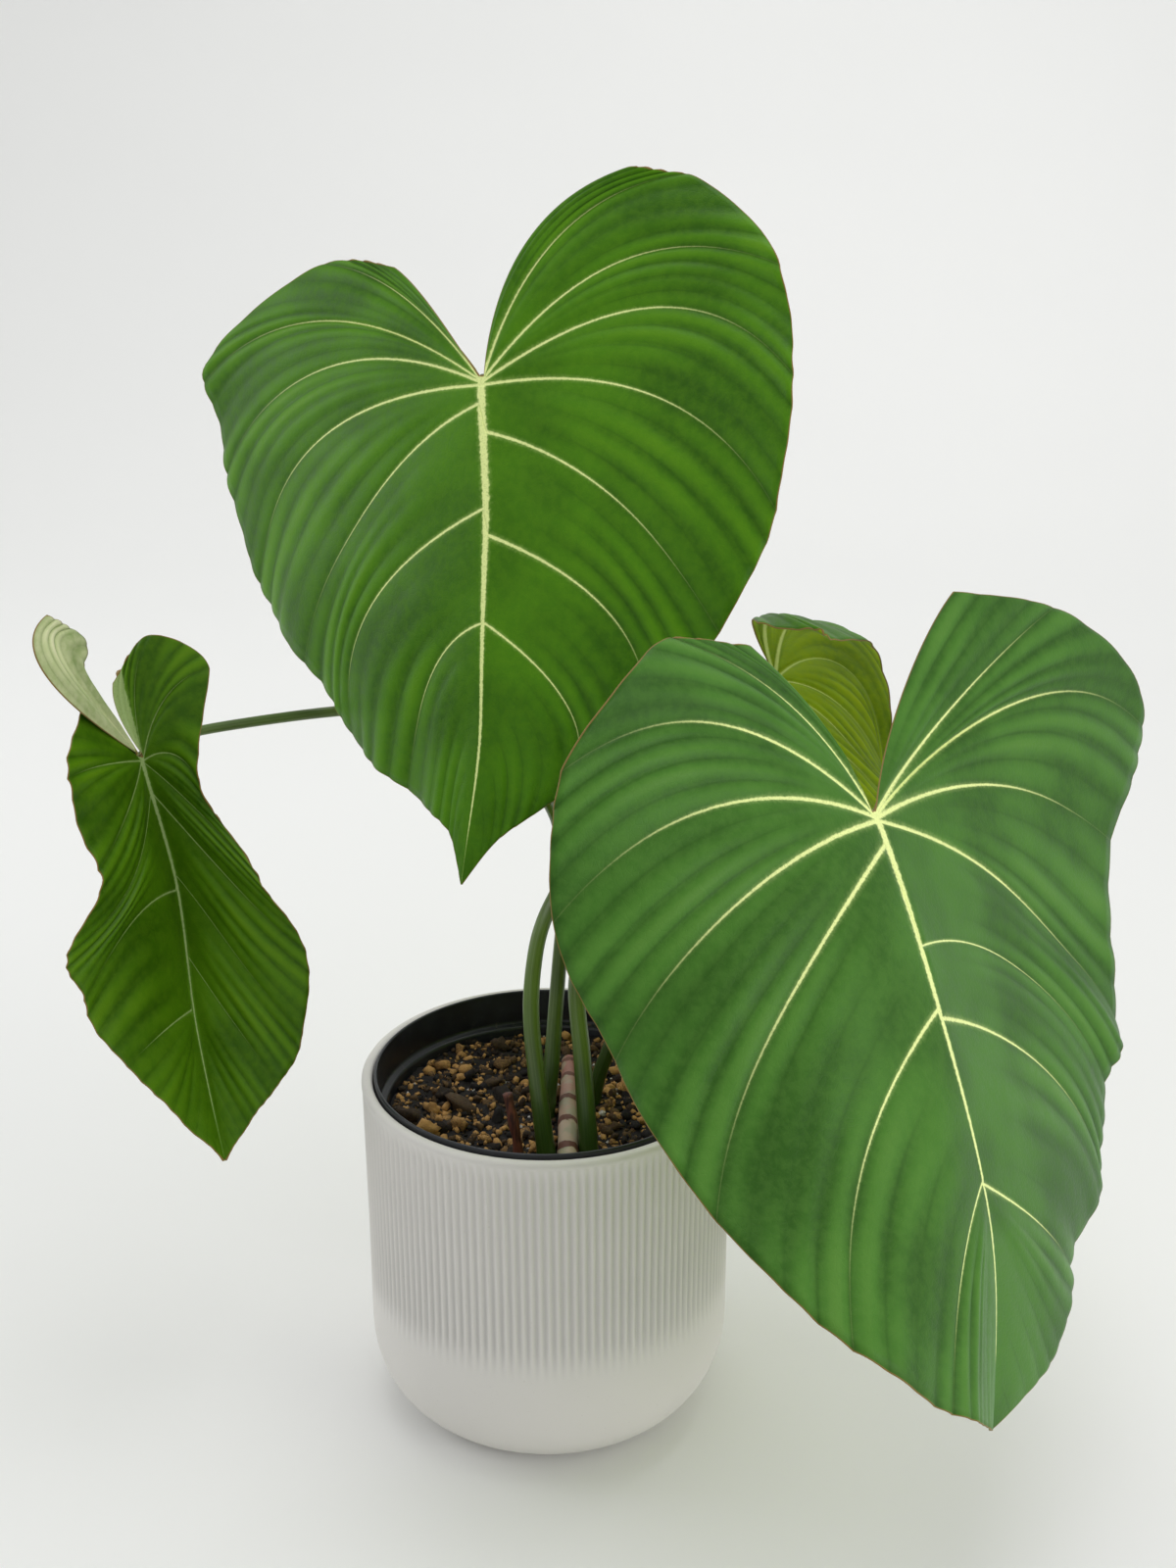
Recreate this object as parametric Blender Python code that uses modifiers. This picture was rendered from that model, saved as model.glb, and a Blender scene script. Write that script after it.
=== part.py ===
"""Creeping velvet-leaved aroid with four heart-shaped blades, in a plastic growing pot inside a ribbed cover pot.

Metres, +Z up, the front of the plant faces -Y, the origin is the middle of the cover pot's foot.
"""
import math
import random

import bmesh
import bpy
import numpy as np
from mathutils import Vector

OBJECT_NAME = "velvet_aroid_in_ribbed_pot"
FIT_GAP = 0.00035

# Cover pot
POT_HEIGHT = 0.1465
POT_RADIUS = 0.0742
RIM_RADIUS = 0.0750
POT_STEPS = 120
RIB_DEPTH = 0.0009
RIB_FADE_TOP = 0.066
RIB_FADE_LOW = 0.048
FOOT_RADIUS = 0.0462
FOOT_ROUNDING = 0.028
FOOT_RISE = 0.036
FLOOR_Z = 0.007

# Growing pot and what fills it
LIP_RADIUS = 0.0700
LIP_TOP = 0.1477
LINER_STEPS = 48
DRAIN_HOLES = 6
DRAIN_RING = 0.036
DRAIN_RADIUS = 0.0045
SOIL_TOP = 0.1290
SOIL_RADIUS = 0.0646
SOIL_LUMP = 0.0015
SOIL_SEED = 7

# Leaf blades
BLADE_THICKNESS = 0.0008
MIDRIB_THICKNESS = 0.0016
BLADE_COLUMNS = 27
BLADE_ROWS_A_SIDE = 6
MIDRIB_HALF = 0.006
LAST_VEIN = 9
CURL_SPAN = 0.6
QUILT_HEIGHT = 0.0015
EDGE_WAVE = 0.0016
STALK_UNDER_BLADE = 0.0048

# Leaf stalks
STALK_POINTS = 16
STALK_TIP_RADIUS = 0.0023

# Where the side veins leave the midrib, in blade lengths; each half of a blade gives the middle three
FIRST_STARTS = (0.0, 0.003, 0.007, 0.012, 0.020)
LAST_STARTS = (0.68, 0.97)
TIP_BOW = (0.985, 0.005)
TIP_END = (1.0, 0.004)
NO_TWIST = (0.0,) * 10

# Angles are in degrees, and their three values run from the basal lobe over the middle to the tip.
# A side vein goes from its start past a bow point to its end on the margin; both are in blade lengths
# along and across. Sway is how far the midrib swings to the right on its way to the tip.
BLADES = {
    "blade_back": {
        "joint": (-0.0276, 0.1053, 0.4088), "heading": -7.5, "pitch": 62.6, "roll": -11.2,
        "length": 0.2093, "droop": 13.2, "lobe_droop": 8.9, "sway": (0.0282, 0.0277, -0.0134), "wave_phase": 0.4,
        "left": {
            "fold": (-19, -13, -30), "curl": (-1, -23, -27), "starts": (0.057, 0.267, 0.492),
            "bows": (
                (-0.217, 0.157), (-0.259, 0.211), (-0.325, 0.458), (-0.216, 0.462), (-0.03, 0.575),
                (0.135, 0.295), (0.417, 0.415), (0.533, 0.163), (0.738, 0.075)),
            "ends": (
                (-0.268, 0.223), (-0.329, 0.439), (-0.151, 0.872), (0.067, 0.866), (0.347, 0.794),
                (0.547, 0.585), (0.711, 0.44), (0.823, 0.226), (0.898, 0.059))},
        "right": {
            "fold": (3, -3, -24), "curl": (1, 16, 1), "starts": (0.115, 0.32, 0.492),
            "bows": (
                (-0.346, 0.044), (-0.373, 0.129), (-0.348, 0.3), (-0.25, 0.421), (-0.027, 0.42),
                (0.184, 0.273), (0.443, 0.325), (0.653, 0.249), (0.741, 0.08)),
            "ends": (
                (-0.398, 0.311), (-0.376, 0.43), (-0.16, 0.619), (0.056, 0.642), (0.296, 0.587),
                (0.51, 0.471), (0.655, 0.324), (0.819, 0.181), (0.91, 0.063))},
    },
    "blade_front": {
        "joint": (0.1179, -0.057, 0.2796), "heading": 29.5, "pitch": 46.9, "roll": 8.5,
        "length": 0.2179, "droop": 30.3, "lobe_droop": -8.3, "sway": (-0.01, -0.0006, -0.0381), "wave_phase": 1.7,
        "left": {
            "fold": (15.5, 14.6, 47), "curl": (1, -65, -38.5), "starts": (0.062, 0.339, 0.616),
            "bows": (
                (-0.193, 0.022), (-0.241, 0.07), (-0.262, 0.27), (-0.11, 0.371), (0.069, 0.386),
                (0.238, 0.326), (0.444, 0.248), (0.69, 0.15), (0.80, 0.085)),
            "ends": (
                (-0.293, 0.178), (-0.305, 0.351), (-0.131, 0.58), (0.057, 0.622), (0.293, 0.576),
                (0.558, 0.52), (0.751, 0.428), (0.877, 0.26), (0.937, 0.142))},
        "right": {
            "fold": (10, -27, -11), "curl": (-16, 11, -30), "starts": (0.234, 0.353, 0.62),
            "bows": (
                (-0.292, 0.237), (-0.255, 0.407), (-0.309, 0.586), (-0.125, 0.449), (0.088, 0.539),
                (0.181, 0.46), (0.401, 0.443), (0.719, 0.206), (0.877, 0.163)),
            "ends": (
                (-0.374, 0.349), (-0.343, 0.646), (-0.144, 0.977), (0.061, 0.824), (0.445, 0.765),
                (0.568, 0.672), (0.741, 0.576), (0.857, 0.373), (0.97, 0.219))},
    },
    "blade_left": {
        "joint": (-0.171, 0.0691, 0.2563), "heading": 28.7, "pitch": 76.3, "roll": -4.4,
        "length": 0.175, "droop": -39.7, "lobe_droop": 0.3, "sway": (0.0336, 0.0099, -0.0025), "wave_phase": 2.9,
        "left": {
            "fold": (40, 50, 40), "curl": (17, -8, -59), "starts": (0.1, 0.334, 0.625),
            "front_bows": (0.05, 0.0, -0.02, 0.0, 0.0, 0.0, 0.0, 0.0, 0.0, 0.0),
            "front_ends": (0.02, -0.03, -0.05, -0.02, 0.0, 0.0, 0.0, 0.0, 0.0, 0.0),
            "bows": (
                (-0.294, 0.422), (-0.344, 0.32), (-0.092, 0.089), (-0.015, 0.198), (0.098, 0.066),
                (0.312, 0.162), (0.351, 0.235), (0.67, 0.122), (0.826, 0.058)),
            "ends": (
                (-0.366, 0.197), (-0.298, 0.13), (-0.152, 0.189), (0.011, 0.331), (0.261, 0.315),
                (0.48, 0.412), (0.597, 0.359), (0.767, 0.24), (0.913, 0.098))},
        "right": {
            "fold": (8, 50, 30), "curl": (13, -2, -28), "starts": (0.1, 0.3, 0.5),
            "bows": (
                (-0.109, -0.049), (-0.194, 0.007), (-0.175, 0.083), (-0.037, 0.102), (0.119, 0.106),
                (0.315, 0.137), (0.508, 0.142), (0.671, 0.104), (0.834, 0.042)),
            "ends": (
                (-0.18, -0.023), (-0.283, 0.089), (-0.191, 0.211), (0.085, 0.142), (0.356, 0.248),
                (0.582, 0.32), (0.782, 0.258), (0.879, 0.167), (0.94, 0.074))},
    },
    "blade_rear": {
        "joint": (0.098, 0.12, 0.276), "heading": 143.8, "pitch": 42.7, "roll": 11.5,
        "length": 0.135, "droop": 18, "lobe_droop": 50, "sway": (0.0169, 0.0169, 0), "wave_phase": 4.1,
        "left": {
            "fold": (19, -10, 12), "curl": (-57, -59, -29), "starts": (0.11, 0.31, 0.49),
            "bows": (
                (-0.38, 0.022), (-0.597, 0.106), (-0.769, 0.294), (-0.417, 0.346), (0.002, 0.282),
                (0.182, 0.211), (0.384, 0.154), (0.552, 0.104), (0.737, 0.052)),
            "ends": (
                (-0.75, 0.242), (-0.766, 0.454), (-0.388, 0.488), (0.104, 0.491), (0.275, 0.506),
                (0.524, 0.34), (0.638, 0.221), (0.793, 0.125), (0.894, 0.041))},
        "right": {
            "fold": (-28, -28, -28), "curl": (-6, -6, -6), "starts": (0.11, 0.31, 0.49),
            "bows": (
                (-0.189, 0.042), (-0.21, 0.085), (-0.238, 0.212), (-0.168, 0.306), (-0.021, 0.357),
                (0.19, 0.255), (0.4, 0.204), (0.56, 0.128), (0.74, 0.06)),
            "ends": (
                (-0.284, 0.221), (-0.269, 0.366), (-0.112, 0.51), (0.06, 0.523), (0.32, 0.493),
                (0.57, 0.412), (0.71, 0.293), (0.83, 0.153), (0.905, 0.047))},
    },
}

# Each leaf stalk: radius at the soil and the points it runs through, up to the blade it carries
STALKS = {
    "petiole_back": ("blade_back", 0.0036, (
        (0.0180, -0.040, 0.110), (0.0168, -0.037, 0.128), (0.0156, -0.032, 0.146), (0.0140, -0.024, 0.166),
        (0.0118, -0.010, 0.187), (0.0146, 0.008, 0.201), (0.0170, 0.030, 0.211), (0.0175, 0.056, 0.221),
        (0.0140, 0.082, 0.235), (-0.0005, 0.108, 0.268), (-0.0140, 0.128, 0.320), (-0.0235, 0.131, 0.370),
        (-0.027, 0.121, 0.397))),
    "petiole_front": ("blade_front", 0.0030, (
        (0.0165, 0.004, 0.110), (0.0185, 0.004, 0.129), (0.0235, 0.004, 0.149), (0.040, 0.004, 0.190),
        (0.068, 0.000, 0.230), (0.100, -0.020, 0.262))),
    "petiole_left": ("blade_left", 0.0032, (
        (-0.0006, -0.011, 0.110), (-0.0002, -0.008, 0.131), (0.0018, -0.004, 0.151), (0.0034, 0.004, 0.171),
        (0.0050, 0.010, 0.190), (0.0065, 0.017, 0.206), (0.0069, 0.028, 0.220), (0.0055, 0.042, 0.230),
        (0.0013, 0.058, 0.237), (-0.0094, 0.078, 0.2448), (-0.0295, 0.098, 0.2517), (-0.0685, 0.131, 0.2562),
        (-0.1005, 0.134, 0.2545), (-0.147, 0.106, 0.2562), (-0.1635, 0.087, 0.2568))),
    "petiole_rear": ("blade_rear", 0.0036, (
        (0.0020, -0.042, 0.110), (0.0000, -0.038, 0.131), (-0.0032, -0.033, 0.158), (-0.0056, -0.025, 0.183),
        (-0.0045, -0.015, 0.2006), (-0.0012, -0.004, 0.2123), (0.006, 0.012, 0.2225), (0.017, 0.038, 0.235),
        (0.032, 0.066, 0.246), (0.052, 0.088, 0.256), (0.070, 0.098, 0.265), (0.084, 0.104, 0.270))),
}

# Creeping stem that lies on the soil, and the cut stalk of an old leaf
RHIZOME_ROUTE = ((0.0084, -0.047, 0.1285), (0.0085, -0.030, 0.1315), (0.0083, -0.010, 0.1327),
                 (0.0087, 0.012, 0.1330), (0.0084, 0.038, 0.1308))
RHIZOME_RADIUS = 0.0038
RHIZOME_RING = 0.0003
RHIZOME_POINTS = 21
OLD_STALK_ROUTE = ((-0.0092, -0.0405, 0.110), (-0.0110, -0.0392, 0.1345), (-0.0146, -0.0372, 0.1552))
OLD_STALK_RADIUS = 0.0020

# Colour, roughness, metallic
MATERIALS = {
    "white_ceramic": ((0.68, 0.66, 0.63, 1.0), 0.55, 0.0),
    "black_plastic": ((0.012, 0.012, 0.013, 1.0), 0.45, 0.0),
    "bark_soil": ((0.045, 0.026, 0.016, 1.0), 0.95, 0.0),
    "leaf_bright": ((0.060, 0.180, 0.030, 1.0), 0.50, 0.0),
    "leaf_velvet": ((0.045, 0.120, 0.045, 1.0), 0.60, 0.0),
    "leaf_dark": ((0.025, 0.090, 0.022, 1.0), 0.50, 0.0),
    "leaf_under": ((0.120, 0.170, 0.040, 1.0), 0.60, 0.0),
    "green_stalk": ((0.080, 0.120, 0.035, 1.0), 0.45, 0.0),
    "pale_rhizome": ((0.420, 0.300, 0.200, 1.0), 0.70, 0.0),
    "dry_stalk": ((0.160, 0.060, 0.030, 1.0), 0.75, 0.0),
}


def clear_scene():
    """Start from an empty file."""
    for found in list(bpy.data.objects):
        bpy.data.objects.remove(found, do_unlink=True)
    for found in list(bpy.data.collections):
        bpy.data.collections.remove(found)


def new_collection(name):
    """Make a collection under the scene."""
    made = bpy.data.collections.new(name)
    bpy.context.scene.collection.children.link(made)
    return made


def make_material(name):
    """Principled material from the table."""
    colour, roughness, metallic = MATERIALS[name]
    made = bpy.data.materials.new(name)
    made.use_nodes = True
    shader = made.node_tree.nodes["Principled BSDF"]
    shader.inputs["Base Color"].default_value = colour
    shader.inputs["Roughness"].default_value = roughness
    shader.inputs["Metallic"].default_value = metallic
    made.diffuse_color = colour
    return made


def link(name, mesh, material, collection):
    """Make the named object of a sub-part with smooth shading."""
    made = bpy.data.objects.new(name, mesh)
    collection.objects.link(made)
    if material:
        mesh.materials.append(material)
    for face in mesh.polygons:
        face.use_smooth = True
    return made


def baked(thing):
    """Turn an object with modifiers, or a curve, into a plain mesh in world space."""
    bpy.context.view_layer.update()
    graph = bpy.context.evaluated_depsgraph_get()
    mesh = bpy.data.meshes.new_from_object(thing.evaluated_get(graph), depsgraph=graph)
    mesh.transform(thing.matrix_world)
    shape = bmesh.new()
    shape.from_mesh(mesh)
    bmesh.ops.remove_doubles(shape, verts=shape.verts, dist=0.00002)
    bmesh.ops.recalc_face_normals(shape, faces=shape.faces)
    shape.to_mesh(mesh)
    shape.free()
    bpy.data.objects.remove(thing, do_unlink=True)
    return mesh


def turned_mesh(profile, steps, collection):
    """Turn a profile about Z, outer side listed from top to bottom."""
    mesh = bpy.data.meshes.new("profile")
    edges = [(index, index + 1) for index in range(len(profile) - 1)]
    mesh.from_pydata([(radius, 0.0, height) for radius, height in profile], edges, [])
    thing = bpy.data.objects.new("profile", mesh)
    collection.objects.link(thing)
    screw = thing.modifiers.new("Screw", "SCREW")
    screw.steps = steps
    screw.render_steps = steps
    screw.use_merge_vertices = True
    screw.merge_threshold = 0.00005
    return baked(thing)


def tube_mesh(points, radii, collection):
    """Round tube with filled ends along a row of points."""
    curve = bpy.data.curves.new("tube", "CURVE")
    curve.dimensions = "3D"
    curve.bevel_depth = 1.0
    curve.bevel_resolution = 2
    curve.use_fill_caps = True
    spline = curve.splines.new("POLY")
    spline.points.add(len(points) - 1)
    for target, place, radius in zip(spline.points, points, radii):
        target.co = (place[0], place[1], place[2], 1.0)
        target.radius = radius
    thing = bpy.data.objects.new("tube", curve)
    collection.objects.link(thing)
    return baked(thing)


def cut(target, cutters):
    """Subtract every cutter from the target."""
    for number, cutter in enumerate(cutters):
        step = target.modifiers.new("Cut %02d" % number, "BOOLEAN")
        step.operation = "DIFFERENCE"
        step.solver = "EXACT"
        step.object = cutter


def make_cutter(name, mesh, collection):
    """Hidden wire object that only cuts."""
    made = link(name, mesh, None, collection)
    made.hide_render = True
    made.display_type = "WIRE"
    return made


def smooth_route(points, count):
    """Even steps on a smooth curve that runs through the points."""
    ends = [2 * Vector(points[0]) - Vector(points[1])]
    ends += [Vector(point) for point in points]
    ends.append(2 * Vector(points[-1]) - Vector(points[-2]))
    fine = []
    for index in range(1, len(ends) - 2):
        before, start, stop, after = ends[index - 1:index + 3]
        for part in np.linspace(0.0, 1.0, 12, endpoint=False):
            even = 2 * start + (stop - before) * part
            even += (2 * before - 5 * start + 4 * stop - after) * part ** 2
            even += (3 * start - before - 3 * stop + after) * part ** 3
            fine.append(0.5 * even)
    fine.append(ends[-2])
    fine = np.array([tuple(point) for point in fine])
    lengths = np.linalg.norm(np.diff(fine, axis=0), axis=1)
    along = np.concatenate(([0.0], np.cumsum(lengths)))
    wanted = np.linspace(0.0, along[-1], count)
    return np.stack([np.interp(wanted, along, fine[:, axis]) for axis in range(3)], axis=1)


def eased(values, where):
    """Smooth run through evenly spaced values without overshoot."""
    values = np.asarray(values, float)
    rise = np.diff(values)
    slope = np.zeros(len(values))
    slope[0] = rise[0]
    slope[-1] = rise[-1]
    for index in range(1, len(values) - 1):
        product = rise[index - 1] * rise[index]
        if product > 0:
            slope[index] = 2 * product / (rise[index - 1] + rise[index])
    cell = np.clip(np.floor(where).astype(int), 0, len(values) - 2)
    part = where - cell
    return ((2 * part ** 3 - 3 * part ** 2 + 1) * values[cell]
            + (part ** 3 - 2 * part ** 2 + part) * slope[cell]
            + (3 * part ** 2 - 2 * part ** 3) * values[cell + 1]
            + (part ** 3 - part ** 2) * slope[cell + 1])


def flat_place(side, vein, out):
    """Place on the flat blade, along and across, for a vein number and a share of the way out."""
    start = eased(FIRST_STARTS + side["starts"] + LAST_STARTS, vein)
    bows = np.array(side["bows"] + (TIP_BOW,))
    ends = np.array(side["ends"] + (TIP_END,))
    inner = (1 - out) ** 2
    middle = 2 * out * (1 - out)
    along = inner * start + middle * eased(bows[:, 0], vein) + out ** 2 * eased(ends[:, 0], vein)
    across = inner * MIDRIB_HALF + middle * eased(bows[:, 1], vein) + out ** 2 * eased(ends[:, 1], vein)
    return along, across


def lobe_twist(side, vein, out):
    """How far a twisted basal lobe leans to the front, in blade lengths."""
    bow = eased(side.get("front_bows", NO_TWIST), vein)
    return 2 * out * (1 - out) * bow + out ** 2 * eased(side.get("front_ends", NO_TWIST), vein)


def blade_axes(blade):
    """Directions along the blade, to its right, and out of its upper side."""
    heading, pitch, roll = (math.radians(blade[name]) for name in ("heading", "pitch", "roll"))
    ahead = np.array((math.sin(heading) * math.cos(pitch), -math.cos(heading) * math.cos(pitch), -math.sin(pitch)))
    level = np.array((0.0, 0.0, 1.0)) - ahead * -math.sin(pitch)
    level /= np.linalg.norm(level)
    upper = level * math.cos(roll) + np.cross(level, ahead) * math.sin(roll)
    return ahead, np.cross(upper, ahead), upper


def bent_place(blade, side, sign, along, across):
    """Carry a flat place onto the folded, curled and drooping blade."""
    share = np.clip((along + 0.4) / 1.4, 0.0, 1.0) * 2
    fold = np.radians(eased(side["fold"], share))
    curl = np.radians(eased(side["curl"], share))
    curl = np.where(np.abs(curl) < 0.001, 0.001, curl)
    turn = fold + curl * across / CURL_SPAN
    sideways = CURL_SPAN / curl * (np.sin(turn) - np.sin(fold))
    raised = -CURL_SPAN / curl * (np.cos(turn) - np.cos(fold))
    bend = np.radians(np.where(along < 0, blade["lobe_droop"], blade["droop"]))
    angle = bend * along
    ahead, right, upper = (axis[:, None] for axis in blade_axes(blade))
    sway = np.array((0.0,) + blade["sway"])
    ahead_sway = eased(sway, np.clip(along, 0.0, 1.0) * (len(sway) - 1))
    sideward = np.where(along > 0, ahead_sway, along * sway[1] * (len(sway) - 1))
    normal = np.cos(angle) * upper + np.sin(angle) * ahead
    place = np.sin(angle) / bend * ahead - (1 - np.cos(angle)) / bend * upper
    place = place + (sign * sideways + sideward) * right + raised * normal
    return np.array(blade["joint"])[:, None] + blade["length"] * place


def relief(blade, vein, out):
    """Height of the quilted upper side: tissue rises between the veins and the edge waves."""
    quilt = (1 - np.cos(2 * math.pi * vein)) / 2 * np.clip(out * 4, 0, 1) * np.clip((1.15 - out) * 2, 0, 1)
    wave = np.sin(vein * 4.1 + blade["wave_phase"]) + 0.6 * np.sin(vein * 6.7 + 2 * blade["wave_phase"])
    fade = np.clip((LAST_VEIN - vein) / 2, 0, 1)
    return (QUILT_HEIGHT * quilt + EDGE_WAVE * wave * out ** 4) * fade


def blade_surface(blade, side, sign, vein, out):
    """Finished places on the upper side for one half of the blade."""
    along, across = flat_place(side, vein, out)
    place = bent_place(blade, side, sign, along, across)
    nudge = 0.002
    ahead = bent_place(blade, side, sign, along + nudge, across) - place
    outward = bent_place(blade, side, sign, along, across + nudge) - place
    normal = sign * np.cross(ahead, outward, axis=0)
    normal /= np.linalg.norm(normal, axis=0)
    place[1] -= blade["length"] * lobe_twist(side, vein, out)
    return place + normal * relief(blade, vein, out)


def blade_mesh(blade):
    """One grid from the left edge over the midrib to the right edge."""
    across_cells = 2 * BLADE_ROWS_A_SIDE + 2
    shape = bmesh.new()
    bmesh.ops.create_grid(shape, x_segments=BLADE_COLUMNS, y_segments=across_cells, size=1.0)
    shape.verts.ensure_lookup_table()
    flat = np.array([tuple(vert.co) for vert in shape.verts])
    vein = (flat[:, 0] + 1) / 2 * LAST_VEIN
    row = np.rint((flat[:, 1] + 1) / 2 * across_cells) - BLADE_ROWS_A_SIDE - 1
    out = np.clip((np.abs(row) - 1) / BLADE_ROWS_A_SIDE, 0, 1)
    left = blade_surface(blade, blade["left"], -1, vein, out)
    right = blade_surface(blade, blade["right"], 1, vein, out)
    place = np.where(row < 0, left, right)
    place = np.where(row == 0, (left + right) / 2, place)
    for vert, target in zip(shape.verts, place.T):
        vert.co = target
    bmesh.ops.triangulate(shape, faces=shape.faces, quad_method="SHORT_EDGE")
    mesh = bpy.data.meshes.new("blade")
    shape.to_mesh(mesh)
    shape.free()
    return mesh, [int(index) for index in np.nonzero(np.abs(row) < 2)[0]]


def build_blade(name, material, collection):
    """Thin solid blade, thicker along the midrib."""
    mesh, midrib = blade_mesh(BLADES[name])
    made = link(name, mesh, material, collection)
    group = made.vertex_groups.new(name="thickness")
    group.add(range(len(mesh.vertices)), BLADE_THICKNESS / MIDRIB_THICKNESS, "REPLACE")
    group.add(midrib, 1.0, "REPLACE")
    solid = made.modifiers.new("Solidify", "SOLIDIFY")
    solid.thickness = MIDRIB_THICKNESS
    solid.offset = -1.0
    solid.vertex_group = group.name
    return made


def stalk_route(name):
    """Route and radii of a leaf stalk, ending just under the blade's joint."""
    blade_name, base_radius, points = STALKS[name]
    blade = BLADES[blade_name]
    upper = blade_axes(blade)[2]
    end = np.array(blade["joint"]) - upper * STALK_UNDER_BLADE
    route = smooth_route(points + (tuple(end),), STALK_POINTS)
    radii = np.linspace(base_radius, STALK_TIP_RADIUS, STALK_POINTS)
    return route, radii


def build_stalk(name, material, collection, cutters):
    """One leaf stalk and the cutter that makes its hole in the soil."""
    route, radii = stalk_route(name)
    made = link(name, tube_mesh(route, radii, collection), material, collection)
    low = smooth_route([tuple(point) for point in route[:3]], 7)
    low[0] -= (low[1] - low[0]) * 0.1
    cutter = tube_mesh(low, [radii[0] + FIT_GAP] * len(low), cutters)
    return made, make_cutter("hole_for_" + name, cutter, cutters)


def build_cover_pot(material, collection):
    """Ribbed cover pot with a rounded foot corner and a flat underside."""
    rounding = []
    for turn in (20, 40, 60, 78):
        angle = math.radians(turn)
        radius = FOOT_RADIUS + FOOT_ROUNDING * math.cos(angle)
        rounding.append((radius, FOOT_RISE * (1 - math.sin(angle))))
    profile = [(0.0, FLOOR_Z), (0.058, FLOOR_Z), (0.0695, 0.020), (0.0705, POT_HEIGHT - 0.0015),
               (0.0710, POT_HEIGHT), (RIM_RADIUS - 0.0008, POT_HEIGHT), (RIM_RADIUS, POT_HEIGHT - 0.0015),
               (RIM_RADIUS, POT_HEIGHT - 0.0035), (POT_RADIUS + 0.0003, POT_HEIGHT - 0.006),
               (POT_RADIUS + 0.0001, RIB_FADE_TOP), (POT_RADIUS, RIB_FADE_LOW), (POT_RADIUS, FOOT_RISE)]
    profile += rounding + [(FOOT_RADIUS, 0.0), (0.0, 0.0)]
    mesh = turned_mesh(profile, POT_STEPS, collection)
    for vert in mesh.vertices:
        radius = math.hypot(vert.co.x, vert.co.y)
        ribbed = RIB_FADE_LOW + 0.001 < vert.co.z < POT_HEIGHT - 0.005
        if ribbed and radius > POT_RADIUS - 0.001:
            step = round(math.atan2(vert.co.y, vert.co.x) / (2 * math.pi) * POT_STEPS)
            scale = 1 - RIB_DEPTH * (step % 2) / radius
            vert.co.x *= scale
            vert.co.y *= scale
    return link("outer_pot", mesh, material, collection)


def build_growing_pot(material, collection, cutters):
    """Thin tapered plastic pot with a stepped lip and drain holes in its floor."""
    base = FLOOR_Z + FIT_GAP
    profile = [(0.0, base + 0.0014), (0.0548, base + 0.0014), (0.0613, 0.018), (0.0653, 0.1325),
               (0.0684, 0.1337), (0.0687, LIP_TOP), (LIP_RADIUS - 0.0003, LIP_TOP),
               (LIP_RADIUS, LIP_TOP - 0.0006), (LIP_RADIUS, 0.1322), (0.0667, 0.1308),
               (0.0627, 0.0175), (0.0560, base), (0.0, base)]
    made = link("nursery_pot", turned_mesh(profile, LINER_STEPS, collection), material, collection)
    holes = []
    for number in range(DRAIN_HOLES):
        angle = 2 * math.pi * number / DRAIN_HOLES
        centre = Vector((DRAIN_RING * math.cos(angle), DRAIN_RING * math.sin(angle), base + 0.0007))
        points = [centre + Vector((0, 0, -0.0006 - 0.0005)), centre + Vector((0, 0, 0.0012))]
        drill = tube_mesh(points, [DRAIN_RADIUS] * 2, cutters)
        holes.append(make_cutter("drain_hole_%d" % (number + 1), drill, cutters))
    cut(made, holes)
    return made


def build_soil(material, collection, holes):
    """Plug of lumpy bark mix that fills the growing pot."""
    low = FLOOR_Z + FIT_GAP * 2 + 0.0014
    rings = [(0.0, SOIL_TOP), (0.008, SOIL_TOP), (0.018, SOIL_TOP), (0.028, SOIL_TOP), (0.038, SOIL_TOP),
             (0.048, SOIL_TOP), (0.057, SOIL_TOP - 0.0004), (SOIL_RADIUS - 0.0012, SOIL_TOP - 0.0012),
             (SOIL_RADIUS, SOIL_TOP - 0.0035), (0.0609, 0.0185), (0.0542, low), (0.0, low)]
    mesh = turned_mesh(rings, LINER_STEPS, collection)
    dice = random.Random(SOIL_SEED)
    for vert in mesh.vertices:
        if vert.co.z > SOIL_TOP - 0.001:
            vert.co.z += dice.uniform(-SOIL_LUMP, SOIL_LUMP)
    made = link("soil", mesh, material, collection)
    cut(made, holes)
    return made


def build_rhizome(material, collection, cutters):
    """Ringed creeping stem half sunk in the soil."""
    route = smooth_route(RHIZOME_ROUTE, RHIZOME_POINTS)
    radii = [RHIZOME_RADIUS + RHIZOME_RING * (index % 3 == 0) for index in range(RHIZOME_POINTS)]
    radii[0] = RHIZOME_RADIUS * 0.55
    radii[1] = RHIZOME_RADIUS * 0.92
    radii[-1] = RHIZOME_RADIUS * 0.6
    made = link("rhizome", tube_mesh(route, radii, collection), material, collection)
    wide = route.copy()
    wide[0] -= (wide[1] - wide[0]) * 0.3
    wide[-1] += (wide[-1] - wide[-2]) * 0.3
    cutter = tube_mesh(wide, [RHIZOME_RADIUS + RHIZOME_RING + FIT_GAP] * RHIZOME_POINTS, cutters)
    return made, make_cutter("bed_for_rhizome", cutter, cutters)


def build_old_stalk(material, collection, cutters):
    """Cut dry stalk of an old leaf."""
    route = smooth_route(OLD_STALK_ROUTE, 6)
    made = link("old_stalk", tube_mesh(route, [OLD_STALK_RADIUS] * 6, collection), material, collection)
    wide = route.copy()
    wide[0] -= (wide[1] - wide[0]) * 0.1
    cutter = tube_mesh(wide, [OLD_STALK_RADIUS + FIT_GAP] * 6, cutters)
    return made, make_cutter("hole_for_old_stalk", cutter, cutters)


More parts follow.
